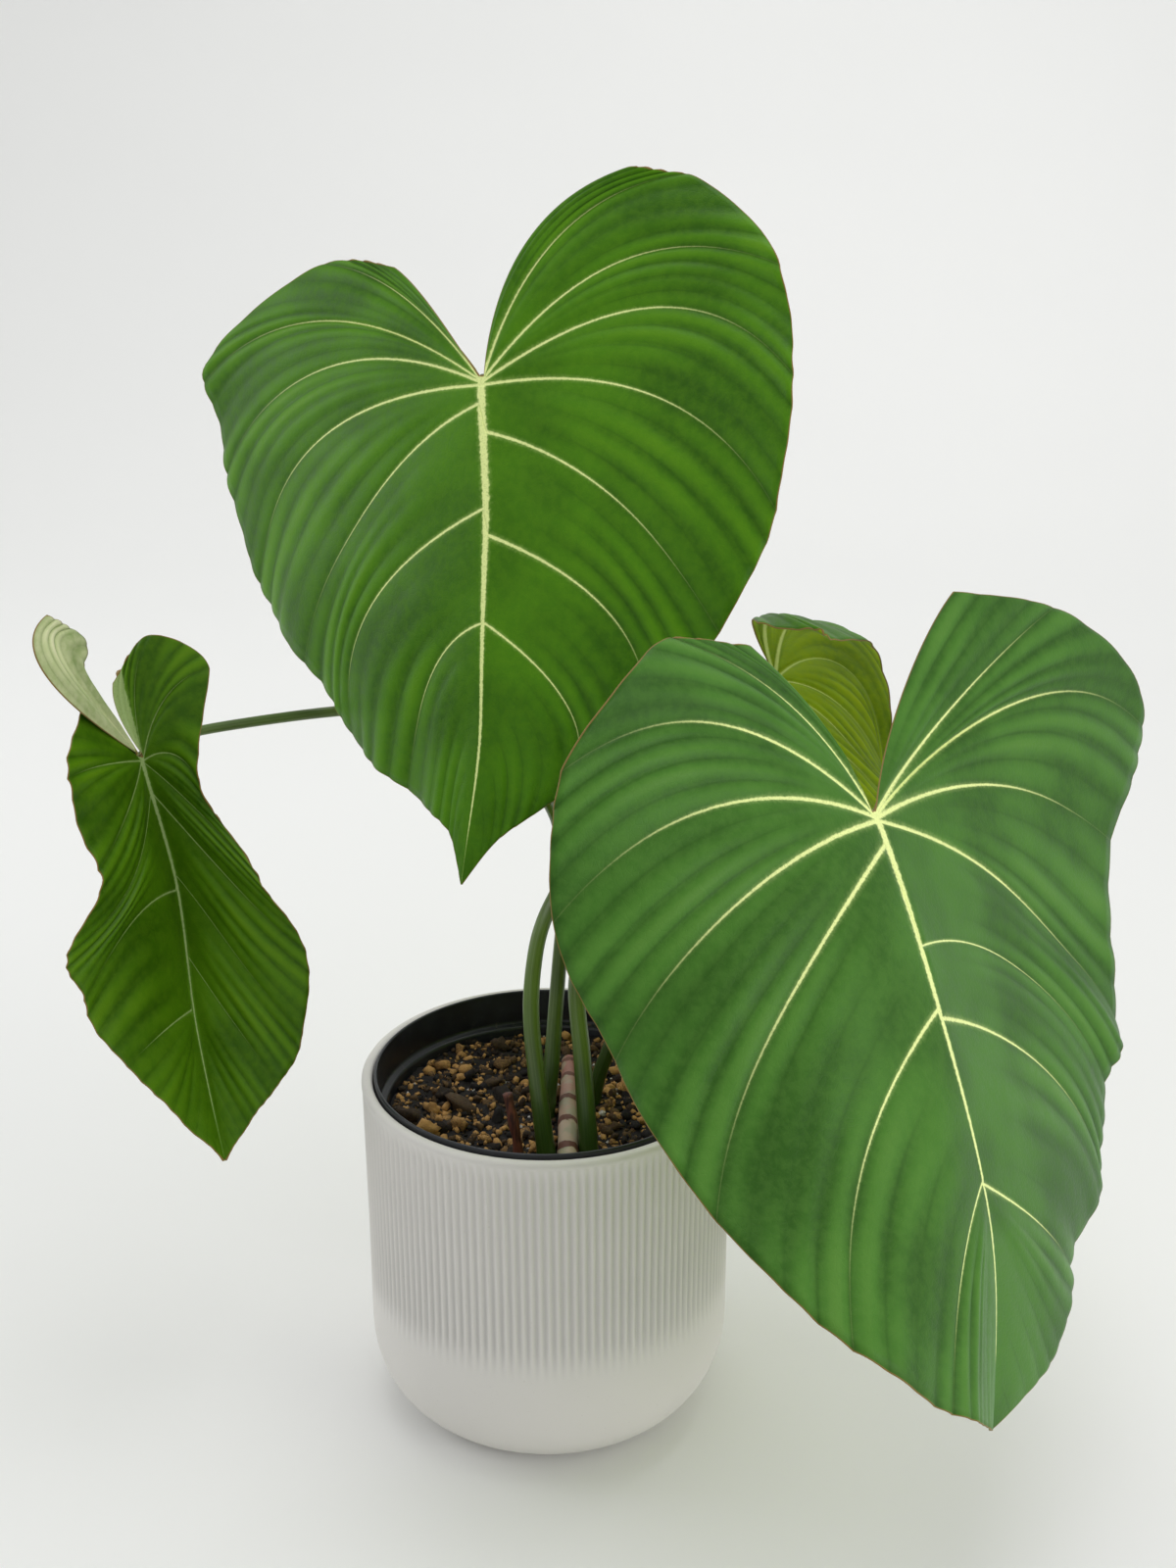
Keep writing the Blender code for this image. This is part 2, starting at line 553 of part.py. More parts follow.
def main():
    """Build every sub-part."""
    clear_scene()
    parts = new_collection(OBJECT_NAME)
    cutters = new_collection("cutters")
    paint = {name: make_material(name) for name in MATERIALS}
    build_cover_pot(paint["white_ceramic"], parts)
    build_growing_pot(paint["black_plastic"], parts, cutters)
    holes = [build_rhizome(paint["pale_rhizome"], parts, cutters)[1]]
    holes.append(build_old_stalk(paint["dry_stalk"], parts, cutters)[1])
    for name in STALKS:
        holes.append(build_stalk(name, paint["green_stalk"], parts, cutters)[1])
    build_soil(paint["bark_soil"], parts, holes)
    build_blade("blade_back", paint["leaf_bright"], parts)
    build_blade("blade_front", paint["leaf_velvet"], parts)
    build_blade("blade_left", paint["leaf_dark"], parts)
    build_blade("blade_rear", paint["leaf_under"], parts)


main()
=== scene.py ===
"""Creeping velvet-leaved aroid in a plastic growing pot inside a ribbed white cover pot.

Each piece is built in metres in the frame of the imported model: +Z up, front towards -Y.
"""
import math
import random

import bmesh
import bpy
import numpy as np
from bpy.props import FloatProperty, FloatVectorProperty, IntProperty, PointerProperty
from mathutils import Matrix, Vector, noise


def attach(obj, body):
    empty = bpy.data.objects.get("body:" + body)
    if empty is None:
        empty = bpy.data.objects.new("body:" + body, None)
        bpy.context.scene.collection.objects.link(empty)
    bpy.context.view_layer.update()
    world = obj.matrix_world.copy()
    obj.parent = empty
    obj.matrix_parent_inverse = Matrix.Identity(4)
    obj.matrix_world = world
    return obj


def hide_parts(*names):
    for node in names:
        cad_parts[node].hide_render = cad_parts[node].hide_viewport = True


bl_info = {
    "name": "Potted velvet-leaved aroid",
    "version": (1, 0, 0),
    "blender": (4, 5, 0),
    "location": "3D View > Sidebar > Aroid",
    "description": "Builds a potted creeping aroid with cream-veined heart-shaped leaves",
    "category": "Object",
}

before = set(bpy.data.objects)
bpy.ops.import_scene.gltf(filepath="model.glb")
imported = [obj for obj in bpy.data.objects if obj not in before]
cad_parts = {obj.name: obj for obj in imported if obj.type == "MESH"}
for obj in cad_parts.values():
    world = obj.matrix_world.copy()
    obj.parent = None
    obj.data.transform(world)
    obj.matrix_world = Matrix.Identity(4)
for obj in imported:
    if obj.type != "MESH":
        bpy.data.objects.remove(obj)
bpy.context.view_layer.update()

# Shape of the blades, shared with the solids
MIDRIB_HALF = 0.006
LAST_VEIN = 9
CURL_SPAN = 0.6
QUILT_HEIGHT = 0.0015
EDGE_WAVE = 0.0016

# Where the side veins leave the midrib, in blade lengths; each half of a blade gives the middle three
FIRST_STARTS = (0.0, 0.003, 0.007, 0.012, 0.020)
LAST_STARTS = (0.68, 0.999)
TIP_BOW = (1.0, 0.0015)
TIP_END = (1.0, 0.002)
TIP_NARROWING = 0.85
NO_TWIST = (0.0,) * 10

# Angles are in degrees, and their three values run from the basal lobe over the middle to the tip.
# A side vein goes from its start past a bow point to its end on the margin; both are in blade lengths
# along and across. Sway is how far the midrib swings to the right on its way to the tip.
BLADES = {
    "blade_back": {
        "joint": (-0.0276, 0.1053, 0.4088), "heading": -7.5, "pitch": 62.6, "roll": -11.2,
        "length": 0.2093, "droop": 13.2, "lobe_droop": 8.9,
        "sway": (0.0282, 0.0277, -0.0134), "wave_phase": 0.4,
        "left": {
            "fold": (-19, -13, -30), "curl": (-1, -23, -27), "starts": (0.057, 0.267, 0.492),
            "bows": (
                (-0.217, 0.157), (-0.259, 0.211), (-0.325, 0.458), (-0.216, 0.462), (-0.03, 0.575),
                (0.135, 0.295), (0.417, 0.415), (0.533, 0.163), (0.738, 0.075)),
            "ends": (
                (-0.268, 0.223), (-0.329, 0.439), (-0.151, 0.872), (0.067, 0.866), (0.347, 0.794),
                (0.547, 0.585), (0.711, 0.44), (0.823, 0.226), (0.898, 0.059))},
        "right": {
            "fold": (3, -3, -24), "curl": (1, 16, 1), "starts": (0.115, 0.32, 0.492),
            "bows": (
                (-0.346, 0.044), (-0.373, 0.129), (-0.348, 0.3), (-0.25, 0.421), (-0.027, 0.42),
                (0.184, 0.273), (0.443, 0.325), (0.653, 0.249), (0.741, 0.08)),
            "ends": (
                (-0.398, 0.311), (-0.376, 0.43), (-0.16, 0.619), (0.056, 0.642), (0.296, 0.587),
                (0.51, 0.471), (0.655, 0.324), (0.819, 0.181), (0.91, 0.063))},
    },
    "blade_front": {
        "joint": (0.1179, -0.057, 0.2796), "heading": 29.5, "pitch": 46.9, "roll": 8.5,
        "length": 0.2179, "droop": 30.3, "lobe_droop": -8.3,
        "sway": (-0.01, -0.0006, -0.0381), "wave_phase": 1.7,
        "left": {
            "fold": (15.5, 14.6, 47), "curl": (1, -65, -38.5), "starts": (0.062, 0.339, 0.616),
            "bows": (
                (-0.193, 0.022), (-0.241, 0.07), (-0.262, 0.27), (-0.11, 0.371), (0.069, 0.386),
                (0.238, 0.326), (0.444, 0.248), (0.69, 0.15), (0.80, 0.085)),
            "ends": (
                (-0.293, 0.178), (-0.305, 0.351), (-0.131, 0.58), (0.057, 0.622), (0.293, 0.576),
                (0.558, 0.52), (0.751, 0.428), (0.877, 0.26), (0.937, 0.142))},
        "right": {
            "fold": (10, -27, -11), "curl": (-16, 11, -30), "starts": (0.234, 0.353, 0.62),
            "bows": (
                (-0.292, 0.237), (-0.255, 0.407), (-0.309, 0.586), (-0.125, 0.449), (0.088, 0.539),
                (0.181, 0.46), (0.401, 0.443), (0.719, 0.206), (0.877, 0.163)),
            "ends": (
                (-0.374, 0.349), (-0.343, 0.646), (-0.144, 0.977), (0.061, 0.824), (0.445, 0.765),
                (0.568, 0.672), (0.741, 0.576), (0.857, 0.373), (0.97, 0.219))},
    },
    "blade_left": {
        "joint": (-0.171, 0.0691, 0.2563), "heading": 28.7, "pitch": 76.3, "roll": -4.4,
        "length": 0.175, "droop": -39.7, "lobe_droop": 0.3,
        "sway": (0.0336, 0.0099, -0.0025), "wave_phase": 2.9,
        "left": {
            "fold": (40, 50, 40), "curl": (17, -8, -59), "starts": (0.1, 0.334, 0.625),
            "front_bows": (0.05, 0.0, -0.02, 0.0, 0.0, 0.0, 0.0, 0.0, 0.0, 0.0),
            "front_ends": (0.02, -0.03, -0.05, -0.02, 0.0, 0.0, 0.0, 0.0, 0.0, 0.0),
            "bows": (
                (-0.294, 0.422), (-0.344, 0.32), (-0.092, 0.089), (-0.015, 0.198), (0.098, 0.066),
                (0.312, 0.162), (0.351, 0.235), (0.67, 0.122), (0.826, 0.058)),
            "ends": (
                (-0.366, 0.197), (-0.298, 0.13), (-0.152, 0.189), (0.011, 0.331), (0.261, 0.315),
                (0.48, 0.412), (0.597, 0.359), (0.767, 0.24), (0.913, 0.098))},
        "right": {
            "fold": (8, 50, 30), "curl": (13, -2, -28), "starts": (0.1, 0.3, 0.5),
            "bows": (
                (-0.109, -0.049), (-0.194, 0.007), (-0.175, 0.083), (-0.037, 0.102), (0.119, 0.106),
                (0.315, 0.137), (0.508, 0.142), (0.671, 0.104), (0.834, 0.042)),
            "ends": (
                (-0.18, -0.023), (-0.283, 0.089), (-0.191, 0.211), (0.085, 0.142), (0.356, 0.248),
                (0.582, 0.32), (0.782, 0.258), (0.879, 0.167), (0.94, 0.074))},
    },
    "blade_rear": {
        "joint": (0.098, 0.12, 0.276), "heading": 143.8, "pitch": 42.7, "roll": 11.5,
        "length": 0.135, "droop": 18, "lobe_droop": 50, "sway": (0.0169, 0.0169, 0), "wave_phase": 4.1,
        "left": {
            "fold": (19, -10, 12), "curl": (-57, -59, -29), "starts": (0.11, 0.31, 0.49),
            "bows": (
                (-0.38, 0.022), (-0.597, 0.106), (-0.769, 0.294), (-0.417, 0.346), (0.002, 0.282),
                (0.182, 0.211), (0.384, 0.154), (0.552, 0.104), (0.737, 0.052)),
            "ends": (
                (-0.75, 0.242), (-0.766, 0.454), (-0.388, 0.488), (0.104, 0.491), (0.275, 0.506),
                (0.524, 0.34), (0.638, 0.221), (0.793, 0.125), (0.894, 0.041))},
        "right": {
            "fold": (-28, -28, -28), "curl": (-6, -6, -6), "starts": (0.11, 0.31, 0.49),
            "bows": (
                (-0.189, 0.042), (-0.21, 0.085), (-0.238, 0.212), (-0.168, 0.306), (-0.021, 0.357),
                (0.19, 0.255), (0.4, 0.204), (0.56, 0.128), (0.74, 0.06)),
            "ends": (
                (-0.284, 0.221), (-0.269, 0.366), (-0.112, 0.51), (0.06, 0.523), (0.32, 0.493),
                (0.57, 0.412), (0.71, 0.293), (0.83, 0.153), (0.905, 0.047))},
    },
}

# How strongly each side vein shows, from the sinus edge to the tip, on the left and the right half
VEIN_SHOWS = {
    "blade_back": ((0.0, 0.7, 0.9, 0.9, 1.0, 1.0, 0.9, 0.7, 0.0, 0.0),
                   (0.0, 0.8, 0.9, 1.0, 1.0, 1.0, 1.0, 0.7, 0.0, 0.0)),
    "blade_front": ((0.0, 0.6, 1.0, 1.0, 1.0, 1.0, 0.8, 0.5, 0.0, 0.0),
                    (0.0, 0.8, 1.0, 1.0, 1.0, 0.4, 0.8, 0.6, 0.0, 0.0)),
    "blade_left": ((0.0, 0.5, 0.4, 0.6, 0.7, 0.3, 0.8, 0.7, 0.0, 0.0),
                   (0.0, 0.2, 0.5, 0.6, 0.3, 0.5, 0.2, 0.2, 0.0, 0.0)),
    "blade_rear": ((0.0, 0.5, 0.7, 0.7, 0.7, 0.7, 0.7, 0.6, 0.0, 0.0),
                   (0.0, 0.5, 0.7, 0.7, 0.7, 0.7, 0.7, 0.6, 0.0, 0.0)),
}

# Soft folds of the tissue between two side veins, how far they wander, the groove over each vein,
# and the ribs under the midrib and the side veins
PLEATS = 4
PLEAT_WARP = 0.12
PLEAT_REST = 0.6
GROOVE_DEPTH = 0.0004
GROOVE_WIDTH = 1.3
RIB_WIDTH = 0.0016
SIDE_RIB_WIDTH = 0.0010
SIDE_RIB_SHARE = 0.45

# Leaf colours: shaded and sunlit tissue are shares of the tissue's own colour
SHADED_SHARE = (0.42, 0.50, 0.35)
SUNLIT_SHARE = (1.75, 1.35, 1.9)
LEAF_SHINE = 0.16
VELVET_SHEEN = 0.12
SHEEN_TINT = (0.75, 0.95, 0.85, 1.0)
MARGIN_TAN = (0.26, 0.17, 0.05)
PALE_UNDERSIDE = (0.62, 0.68, 0.36)
FADED_VEIN = (0.34, 0.46, 0.17)

# Each leaf stalk: blade it carries, radius at the soil and the points it runs through
STALKS = {
    "petiole_back": ("blade_back", 0.0036, (
        (0.0180, -0.040, 0.110), (0.0168, -0.037, 0.128), (0.0156, -0.032, 0.146), (0.0140, -0.024, 0.166),
        (0.0118, -0.010, 0.187), (0.0146, 0.008, 0.201), (0.0170, 0.030, 0.211), (0.0175, 0.056, 0.221),
        (0.0140, 0.082, 0.235), (-0.0005, 0.108, 0.268), (-0.0140, 0.128, 0.320), (-0.0235, 0.131, 0.370),
        (-0.027, 0.121, 0.397))),
    "petiole_front": ("blade_front", 0.0030, (
        (0.0165, 0.004, 0.110), (0.0185, 0.004, 0.129), (0.0235, 0.004, 0.149), (0.040, 0.004, 0.190),
        (0.068, 0.000, 0.230), (0.100, -0.020, 0.262))),
    "petiole_left": ("blade_left", 0.0032, (
        (-0.0006, -0.011, 0.110), (-0.0002, -0.008, 0.131), (0.0018, -0.004, 0.151), (0.0034, 0.004, 0.171),
        (0.0050, 0.010, 0.190), (0.0065, 0.017, 0.206), (0.0069, 0.028, 0.220), (0.0055, 0.042, 0.230),
        (0.0013, 0.058, 0.237), (-0.0094, 0.078, 0.2448), (-0.0295, 0.098, 0.2517), (-0.0685, 0.131, 0.2562),
        (-0.1005, 0.134, 0.2545), (-0.147, 0.106, 0.2562), (-0.1635, 0.087, 0.2568))),
    "petiole_rear": ("blade_rear", 0.0036, (
        (0.0020, -0.042, 0.110), (0.0000, -0.038, 0.131), (-0.0032, -0.033, 0.158), (-0.0056, -0.025, 0.183),
        (-0.0045, -0.015, 0.2006), (-0.0012, -0.004, 0.2123), (0.006, 0.012, 0.2225), (0.017, 0.038, 0.235),
        (0.032, 0.066, 0.246), (0.052, 0.088, 0.256), (0.070, 0.098, 0.265), (0.084, 0.104, 0.270))),
}
STALK_TIP_RADIUS = 0.0021
STALK_UNDER_BLADE = 0.0024
STALK_PALE = (0.20, 0.28, 0.10)
STALK_BASE_GREEN = (0.016, 0.060, 0.004)

# Creeping stem and dry old stalk; scars are shares of the stem's length
RHIZOME_ROUTE = ((0.0084, -0.047, 0.1285), (0.0085, -0.030, 0.1315), (0.0083, -0.010, 0.1327),
                 (0.0087, 0.012, 0.1330), (0.0084, 0.038, 0.1308))
RHIZOME_RADIUS = 0.0041
RHIZOME_SCARS = (0.11, 0.31, 0.50, 0.72, 0.90)
OLD_STALK_ROUTE = ((-0.0092, -0.0405, 0.110), (-0.0110, -0.0392, 0.1345), (-0.0146, -0.0372, 0.1552))
OLD_STALK_RADIUS = 0.0020
SCAR_WIDTH = 0.026
STEM_TAPER = 0.22
STEM_PINK = (0.30, 0.12, 0.09)
STEM_MOSS = (0.30, 0.32, 0.20)
DRY_RED = (0.17, 0.05, 0.025)
DRY_DARK = (0.05, 0.015, 0.01)

# Cover pot, growing pot and bark mix, which stand one in the other
POT_HEIGHT = 0.1465
POT_RADIUS = 0.0742
RIM_RADIUS = 0.0750
FOOT_RADIUS = 0.0462
FOOT_ROUNDING = 0.028
FOOT_RISE = 0.036
FLOOR_Z = 0.007
RIB_FADE_TOP = 0.066
RIB_FADE_LOW = 0.048
LIP_RADIUS = 0.0700
LIP_TOP = 0.1477
SOIL_TOP = 0.1290
SOIL_RADIUS = 0.0646
PLASTIC_BASE = FLOOR_Z + 0.00035
SOIL_BASE = FLOOR_Z + 0.0021
RIBS_STOP = POT_HEIGHT - 0.0030

# Outlines to turn round Z, as radius and height: cover pot from its inner floor over the rim,
# growing pot from its inner floor over the lip and back below, and the side of the bark mix
COVER_POT_INSIDE = (
    (0.0, FLOOR_Z), (0.056, FLOOR_Z), (0.064, 0.010), (0.0690, 0.018), (0.0698, 0.060),
    (0.0705, POT_HEIGHT - 0.0026), (0.0706, POT_HEIGHT - 0.0013), (0.0711, POT_HEIGHT - 0.0004),
    (0.0719, POT_HEIGHT), (RIM_RADIUS - 0.0016, POT_HEIGHT), (RIM_RADIUS - 0.0007, POT_HEIGHT - 0.0003),
    (RIM_RADIUS - 0.0001, POT_HEIGHT - 0.0011), (RIM_RADIUS, POT_HEIGHT - 0.0022))
GROWING_POT_OUTLINE = (
    (0.0, PLASTIC_BASE + 0.0014), (0.0548, PLASTIC_BASE + 0.0014), (0.0613, 0.018), (0.0651, 0.1312),
    (0.0655, 0.1320), (0.0662, 0.1324), (0.0678, 0.1327), (0.0683, 0.1331), (0.0685, 0.1340),
    (0.0687, LIP_TOP - 0.0006), (0.0689, LIP_TOP - 0.0001), (0.0692, LIP_TOP),
    (LIP_RADIUS - 0.0004, LIP_TOP), (LIP_RADIUS - 0.0001, LIP_TOP - 0.0003),
    (LIP_RADIUS, LIP_TOP - 0.0008), (LIP_RADIUS, 0.1326), (0.0697, 0.1318), (0.0667, 0.1308),
    (0.0627, 0.0175), (0.0560, PLASTIC_BASE), (0.0, PLASTIC_BASE))
SOIL_SIDE = ((0.0609, 0.0185), (0.0542, SOIL_BASE), (0.0, SOIL_BASE))

# Pot and bark mix colours
# Painted shade in the valleys between the cover pot's ribs
RIB_VALLEY_SHADE = (0.36, 0.36, 0.35)
SPECK_GREY = (0.35, 0.32, 0.28)
SCUFF_GREY = (0.030, 0.036, 0.048)
DUST_BROWN = (0.16, 0.12, 0.08)
GRAIN_WHITE = (0.72, 0.70, 0.66)
GRAIN_DIRT = (0.30, 0.26, 0.21)
BED_TONE = 0.05

# Camera, matched to the photograph's viewing angle
CAMERA_PLACE = (0.0164, -0.7064, 0.5259)
CAMERA_TILT = 70.0
CAMERA_LENS = 45.0
CAMERA_SENSOR = 36.0

# Curved backdrop behind the floor
COVE_START = 1.4
COVE_RADIUS = 1.2
COVE_WALL = 2.5
COVE_STEPS = 60
# Painted light: colour of the glow of the floor and backdrop
COVE_GLOW = (0.16, 0.16, 0.158)

# Light from the room and from three lamps: name, place, size, share of the light power and colour
ROOM_COLOUR = (0.86, 0.87, 0.88, 1.0)
ROOM_STRENGTH = 0.62
LIGHT_TARGET = (0.02, 0.0, 0.2)
LAMPS = (
    ("ceiling", (0.1, 0.5, 2.2), 1.8, 1.0, (1.0, 1.0, 1.0)),
    ("window_right", (1.4, -0.9, 0.6), 1.0, 0.55, (1.0, 0.99, 0.97)),
    ("window_left", (-1.6, 0.5, 0.8), 1.0, 0.35, (0.95, 0.97, 1.0)),
)


class AroidLeafSettings(bpy.types.PropertyGroup):
    """Sizes and colours of the leaf blades."""
    cells_between_veins: IntProperty(
        name="Cells between veins", description="Mesh columns between two side veins",
        default=24, min=6, max=40)
    cells_across: IntProperty(
        name="Cells across", description="Mesh rows from the midrib to one edge", default=34, min=12, max=60)
    thickness: FloatProperty(
        name="Blade thickness", description="Thickness of the leaf tissue",
        default=0.0005, min=0.0002, max=0.002, precision=4, unit="LENGTH")
    rib_thickness: FloatProperty(
        name="Rib thickness", description="Thickness under the midrib at the stalk",
        default=0.0026, min=0.0005, max=0.004, precision=4, unit="LENGTH")
    furrow_depth: FloatProperty(
        name="Furrow depth", description="Depth of the fine furrows between the side veins",
        default=0.0012, min=0.0, max=0.003, precision=5, unit="LENGTH")
    vein_width: FloatProperty(
        name="Vein width", description="Half width of a pale side vein near the stalk",
        default=0.0009, min=0.0002, max=0.004, precision=4, unit="LENGTH")
    bright_green: FloatVectorProperty(
        name="Bright green", description="Colour of the tall leaf at the back",
        subtype="COLOR", size=3, min=0.0, max=1.0, default=(0.072, 0.225, 0.003))
    velvet_green: FloatVectorProperty(
        name="Velvet green", description="Colour of the large leaf in front",
        subtype="COLOR", size=3, min=0.0, max=1.0, default=(0.062, 0.188, 0.020))
    dark_green: FloatVectorProperty(
        name="Dark green", description="Colour of the folded leaf on the left",
        subtype="COLOR", size=3, min=0.0, max=1.0, default=(0.078, 0.200, 0.003))
    # Partly the undersides' own colour, partly painted light shining through the leaf
    under_green_lit_through: FloatVectorProperty(
        name="Underside green", description="Colour of the leaf undersides",
        subtype="COLOR", size=3, min=0.0, max=1.0, default=(0.300, 0.450, 0.004))
    vein_cream: FloatVectorProperty(
        name="Vein cream", description="Colour of the pale veins",
        subtype="COLOR", size=3, min=0.0, max=1.0, default=(0.86, 0.95, 0.38))


class AroidStalkSettings(bpy.types.PropertyGroup):
    """Sizes and colours of the leaf stalks and the creeping stem."""
    rings: IntProperty(
        name="Rings", description="Mesh rings along one leaf stalk", default=150, min=20, max=400)
    sides: IntProperty(
        name="Sides", description="Mesh sides round a leaf stalk", default=24, min=8, max=64)
    stalk_green: FloatVectorProperty(
        name="Stalk green", description="Colour of the leaf stalks",
        subtype="COLOR", size=3, min=0.0, max=1.0, default=(0.085, 0.150, 0.018))
    stem_cream: FloatVectorProperty(
        name="Stem cream", description="Pale colour of the creeping stem",
        subtype="COLOR", size=3, min=0.0, max=1.0, default=(0.50, 0.40, 0.28))
    stem_brown: FloatVectorProperty(
        name="Stem brown", description="Colour of the rings on the creeping stem",
        subtype="COLOR", size=3, min=0.0, max=1.0, default=(0.13, 0.05, 0.03))


class AroidPotSettings(bpy.types.PropertyGroup):
    """Sizes and colours of the two pots."""
    ribs: IntProperty(
        name="Ribs", description="Number of upright ribs round the cover pot", default=138, min=12, max=200)
    steps_in_rib: IntProperty(
        name="Steps in a rib", description="Mesh steps across one rib", default=7, min=4, max=10)
    rib_depth: FloatProperty(
        name="Rib depth", description="Depth of the valleys between the ribs",
        default=0.0009, min=0.0, max=0.003, precision=4, unit="LENGTH")
    ceramic_white: FloatVectorProperty(
        name="Ceramic white", description="Colour of the cover pot",
        subtype="COLOR", size=3, min=0.0, max=1.0, default=(0.72, 0.70, 0.66))
    plastic_black: FloatVectorProperty(
        name="Plastic black", description="Colour of the growing pot",
        subtype="COLOR", size=3, min=0.0, max=1.0, default=(0.010, 0.012, 0.016))


class AroidSoilSettings(bpy.types.PropertyGroup):
    """Amounts and colours of the bark mix."""
    seed: IntProperty(name="Seed", description="Start of the random draws for the bark mix", default=11)
    chips: IntProperty(name="Bark chips", description="Number of bark chips", default=170, min=0, max=2000)
    crumbs: IntProperty(
        name="Crumbs", description="Number of small crumbs", default=2300, min=0, max=6000)
    grains: IntProperty(
        name="White grains", description="Number of white grains", default=70, min=0, max=1000)
    chip_size: FloatProperty(
        name="Chip size", description="Usual length of a bark chip",
        default=0.0046, min=0.001, max=0.02, precision=4, unit="LENGTH")
    bark_dark: FloatVectorProperty(
        name="Dark bark", description="Colour of the darkest bark",
        subtype="COLOR", size=3, min=0.0, max=1.0, default=(0.006, 0.004, 0.003))
    bark_tan: FloatVectorProperty(
        name="Tan bark", description="Colour of the palest bark",
        subtype="COLOR", size=3, min=0.0, max=1.0, default=(0.52, 0.29, 0.09))


class AroidStageSettings(bpy.types.PropertyGroup):
    """Floor and light."""
    floor_size: FloatProperty(
        name="Floor size", description="Half width and length of the floor",
        default=4.0, min=1.0, max=20.0, unit="LENGTH")
    floor_colour: FloatVectorProperty(
        name="Floor colour", description="Colour of the floor",
        subtype="COLOR", size=3, min=0.0, max=1.0, default=(0.88, 0.88, 0.86))
    light_power: FloatProperty(
        name="Light power", description="Power of the large soft light", default=18.0, min=0.0, max=500.0,
        unit="POWER")


# Node helpers


def feed(tree, node, feeds):
    """Link each named input of a node to a socket or set it to a value."""
    for key, value in feeds.items():
        if isinstance(value, bpy.types.NodeSocket):
            tree.links.new(value, node.inputs[key])
        else:
            node.inputs[key].default_value = value


def add_node(tree, kind, feeds=None, **settings):
    """New node whose inputs are linked to sockets or set to values."""
    made = tree.nodes.new(kind)
    for name, value in settings.items():
        setattr(made, name, value)
    feed(tree, made, feeds or {})
    return made


def calc(tree, operation, *values):
    """Math node."""
    return add_node(tree, "ShaderNodeMath", dict(enumerate(values)), operation=operation).outputs[0]


def mixed(tree, share, low, high, blend="MIX"):
    """Colour mix; plain colours are given as three numbers."""
    low, high = (part if isinstance(part, bpy.types.NodeSocket) else (*part, 1.0) for part in (low, high))
    made = add_node(tree, "ShaderNodeMix", {0: share, 6: low, 7: high}, data_type="RGBA", blend_type=blend)
    return made.outputs[2]


def ranged(tree, value, low, high, first=0.0, last=1.0):
    """Smooth change from first to last while the value goes from low to high."""
    feeds = {0: value, 1: low, 2: high, 3: first, 4: last}
    return add_node(tree, "ShaderNodeMapRange", feeds, interpolation_type="SMOOTHSTEP").outputs[0]


def attribute(tree, name):
    """Value of one of the piece's own attributes."""
    return add_node(tree, "ShaderNodeAttribute", attribute_name=name).outputs["Fac"]


def object_place(tree):
    """Place on the piece in metres."""
    return add_node(tree, "ShaderNodeTexCoord").outputs["Object"]


def cloud(tree, place, scale, detail=3.0, roughness=0.5):
    """Soft noise from 0 to 1."""
    feeds = {"Vector": place, "Scale": scale, "Detail": detail, "Roughness": roughness}
    return add_node(tree, "ShaderNodeTexNoise", feeds).outputs["Fac"]


def new_group(name, inputs, outputs):
    """Shader node group with named sockets, with its input and output nodes' sockets."""
    group = bpy.data.node_groups.new(name, "ShaderNodeTree")
    for socket, kind in inputs:
        group.interface.new_socket(name=socket, in_out="INPUT", socket_type=kind)
    for socket, kind in outputs:
        group.interface.new_socket(name=socket, in_out="OUTPUT", socket_type=kind)
    return group, group.nodes.new("NodeGroupInput").outputs, group.nodes.new("NodeGroupOutput").inputs


def mottle_group():
    """Uneven tone over a surface, from large cloudy areas and small specks."""
    if "Mottle" in bpy.data.node_groups:
        return bpy.data.node_groups["Mottle"]
    value = "NodeSocketFloat"
    group, given, result = new_group(
        "Mottle", (("Place", "NodeSocketVector"), ("Large Scale", value), ("Small Scale", value)),
        (("Large", value), ("Small", value)))
    large = cloud(group, given["Place"], given["Large Scale"], 2.0)
    small = cloud(group, given["Place"], given["Small Scale"], 4.0, 0.6)
    group.links.new(ranged(group, large, 0.3, 0.7), result["Large"])
    group.links.new(ranged(group, small, 0.35, 0.65), result["Small"])
    return group


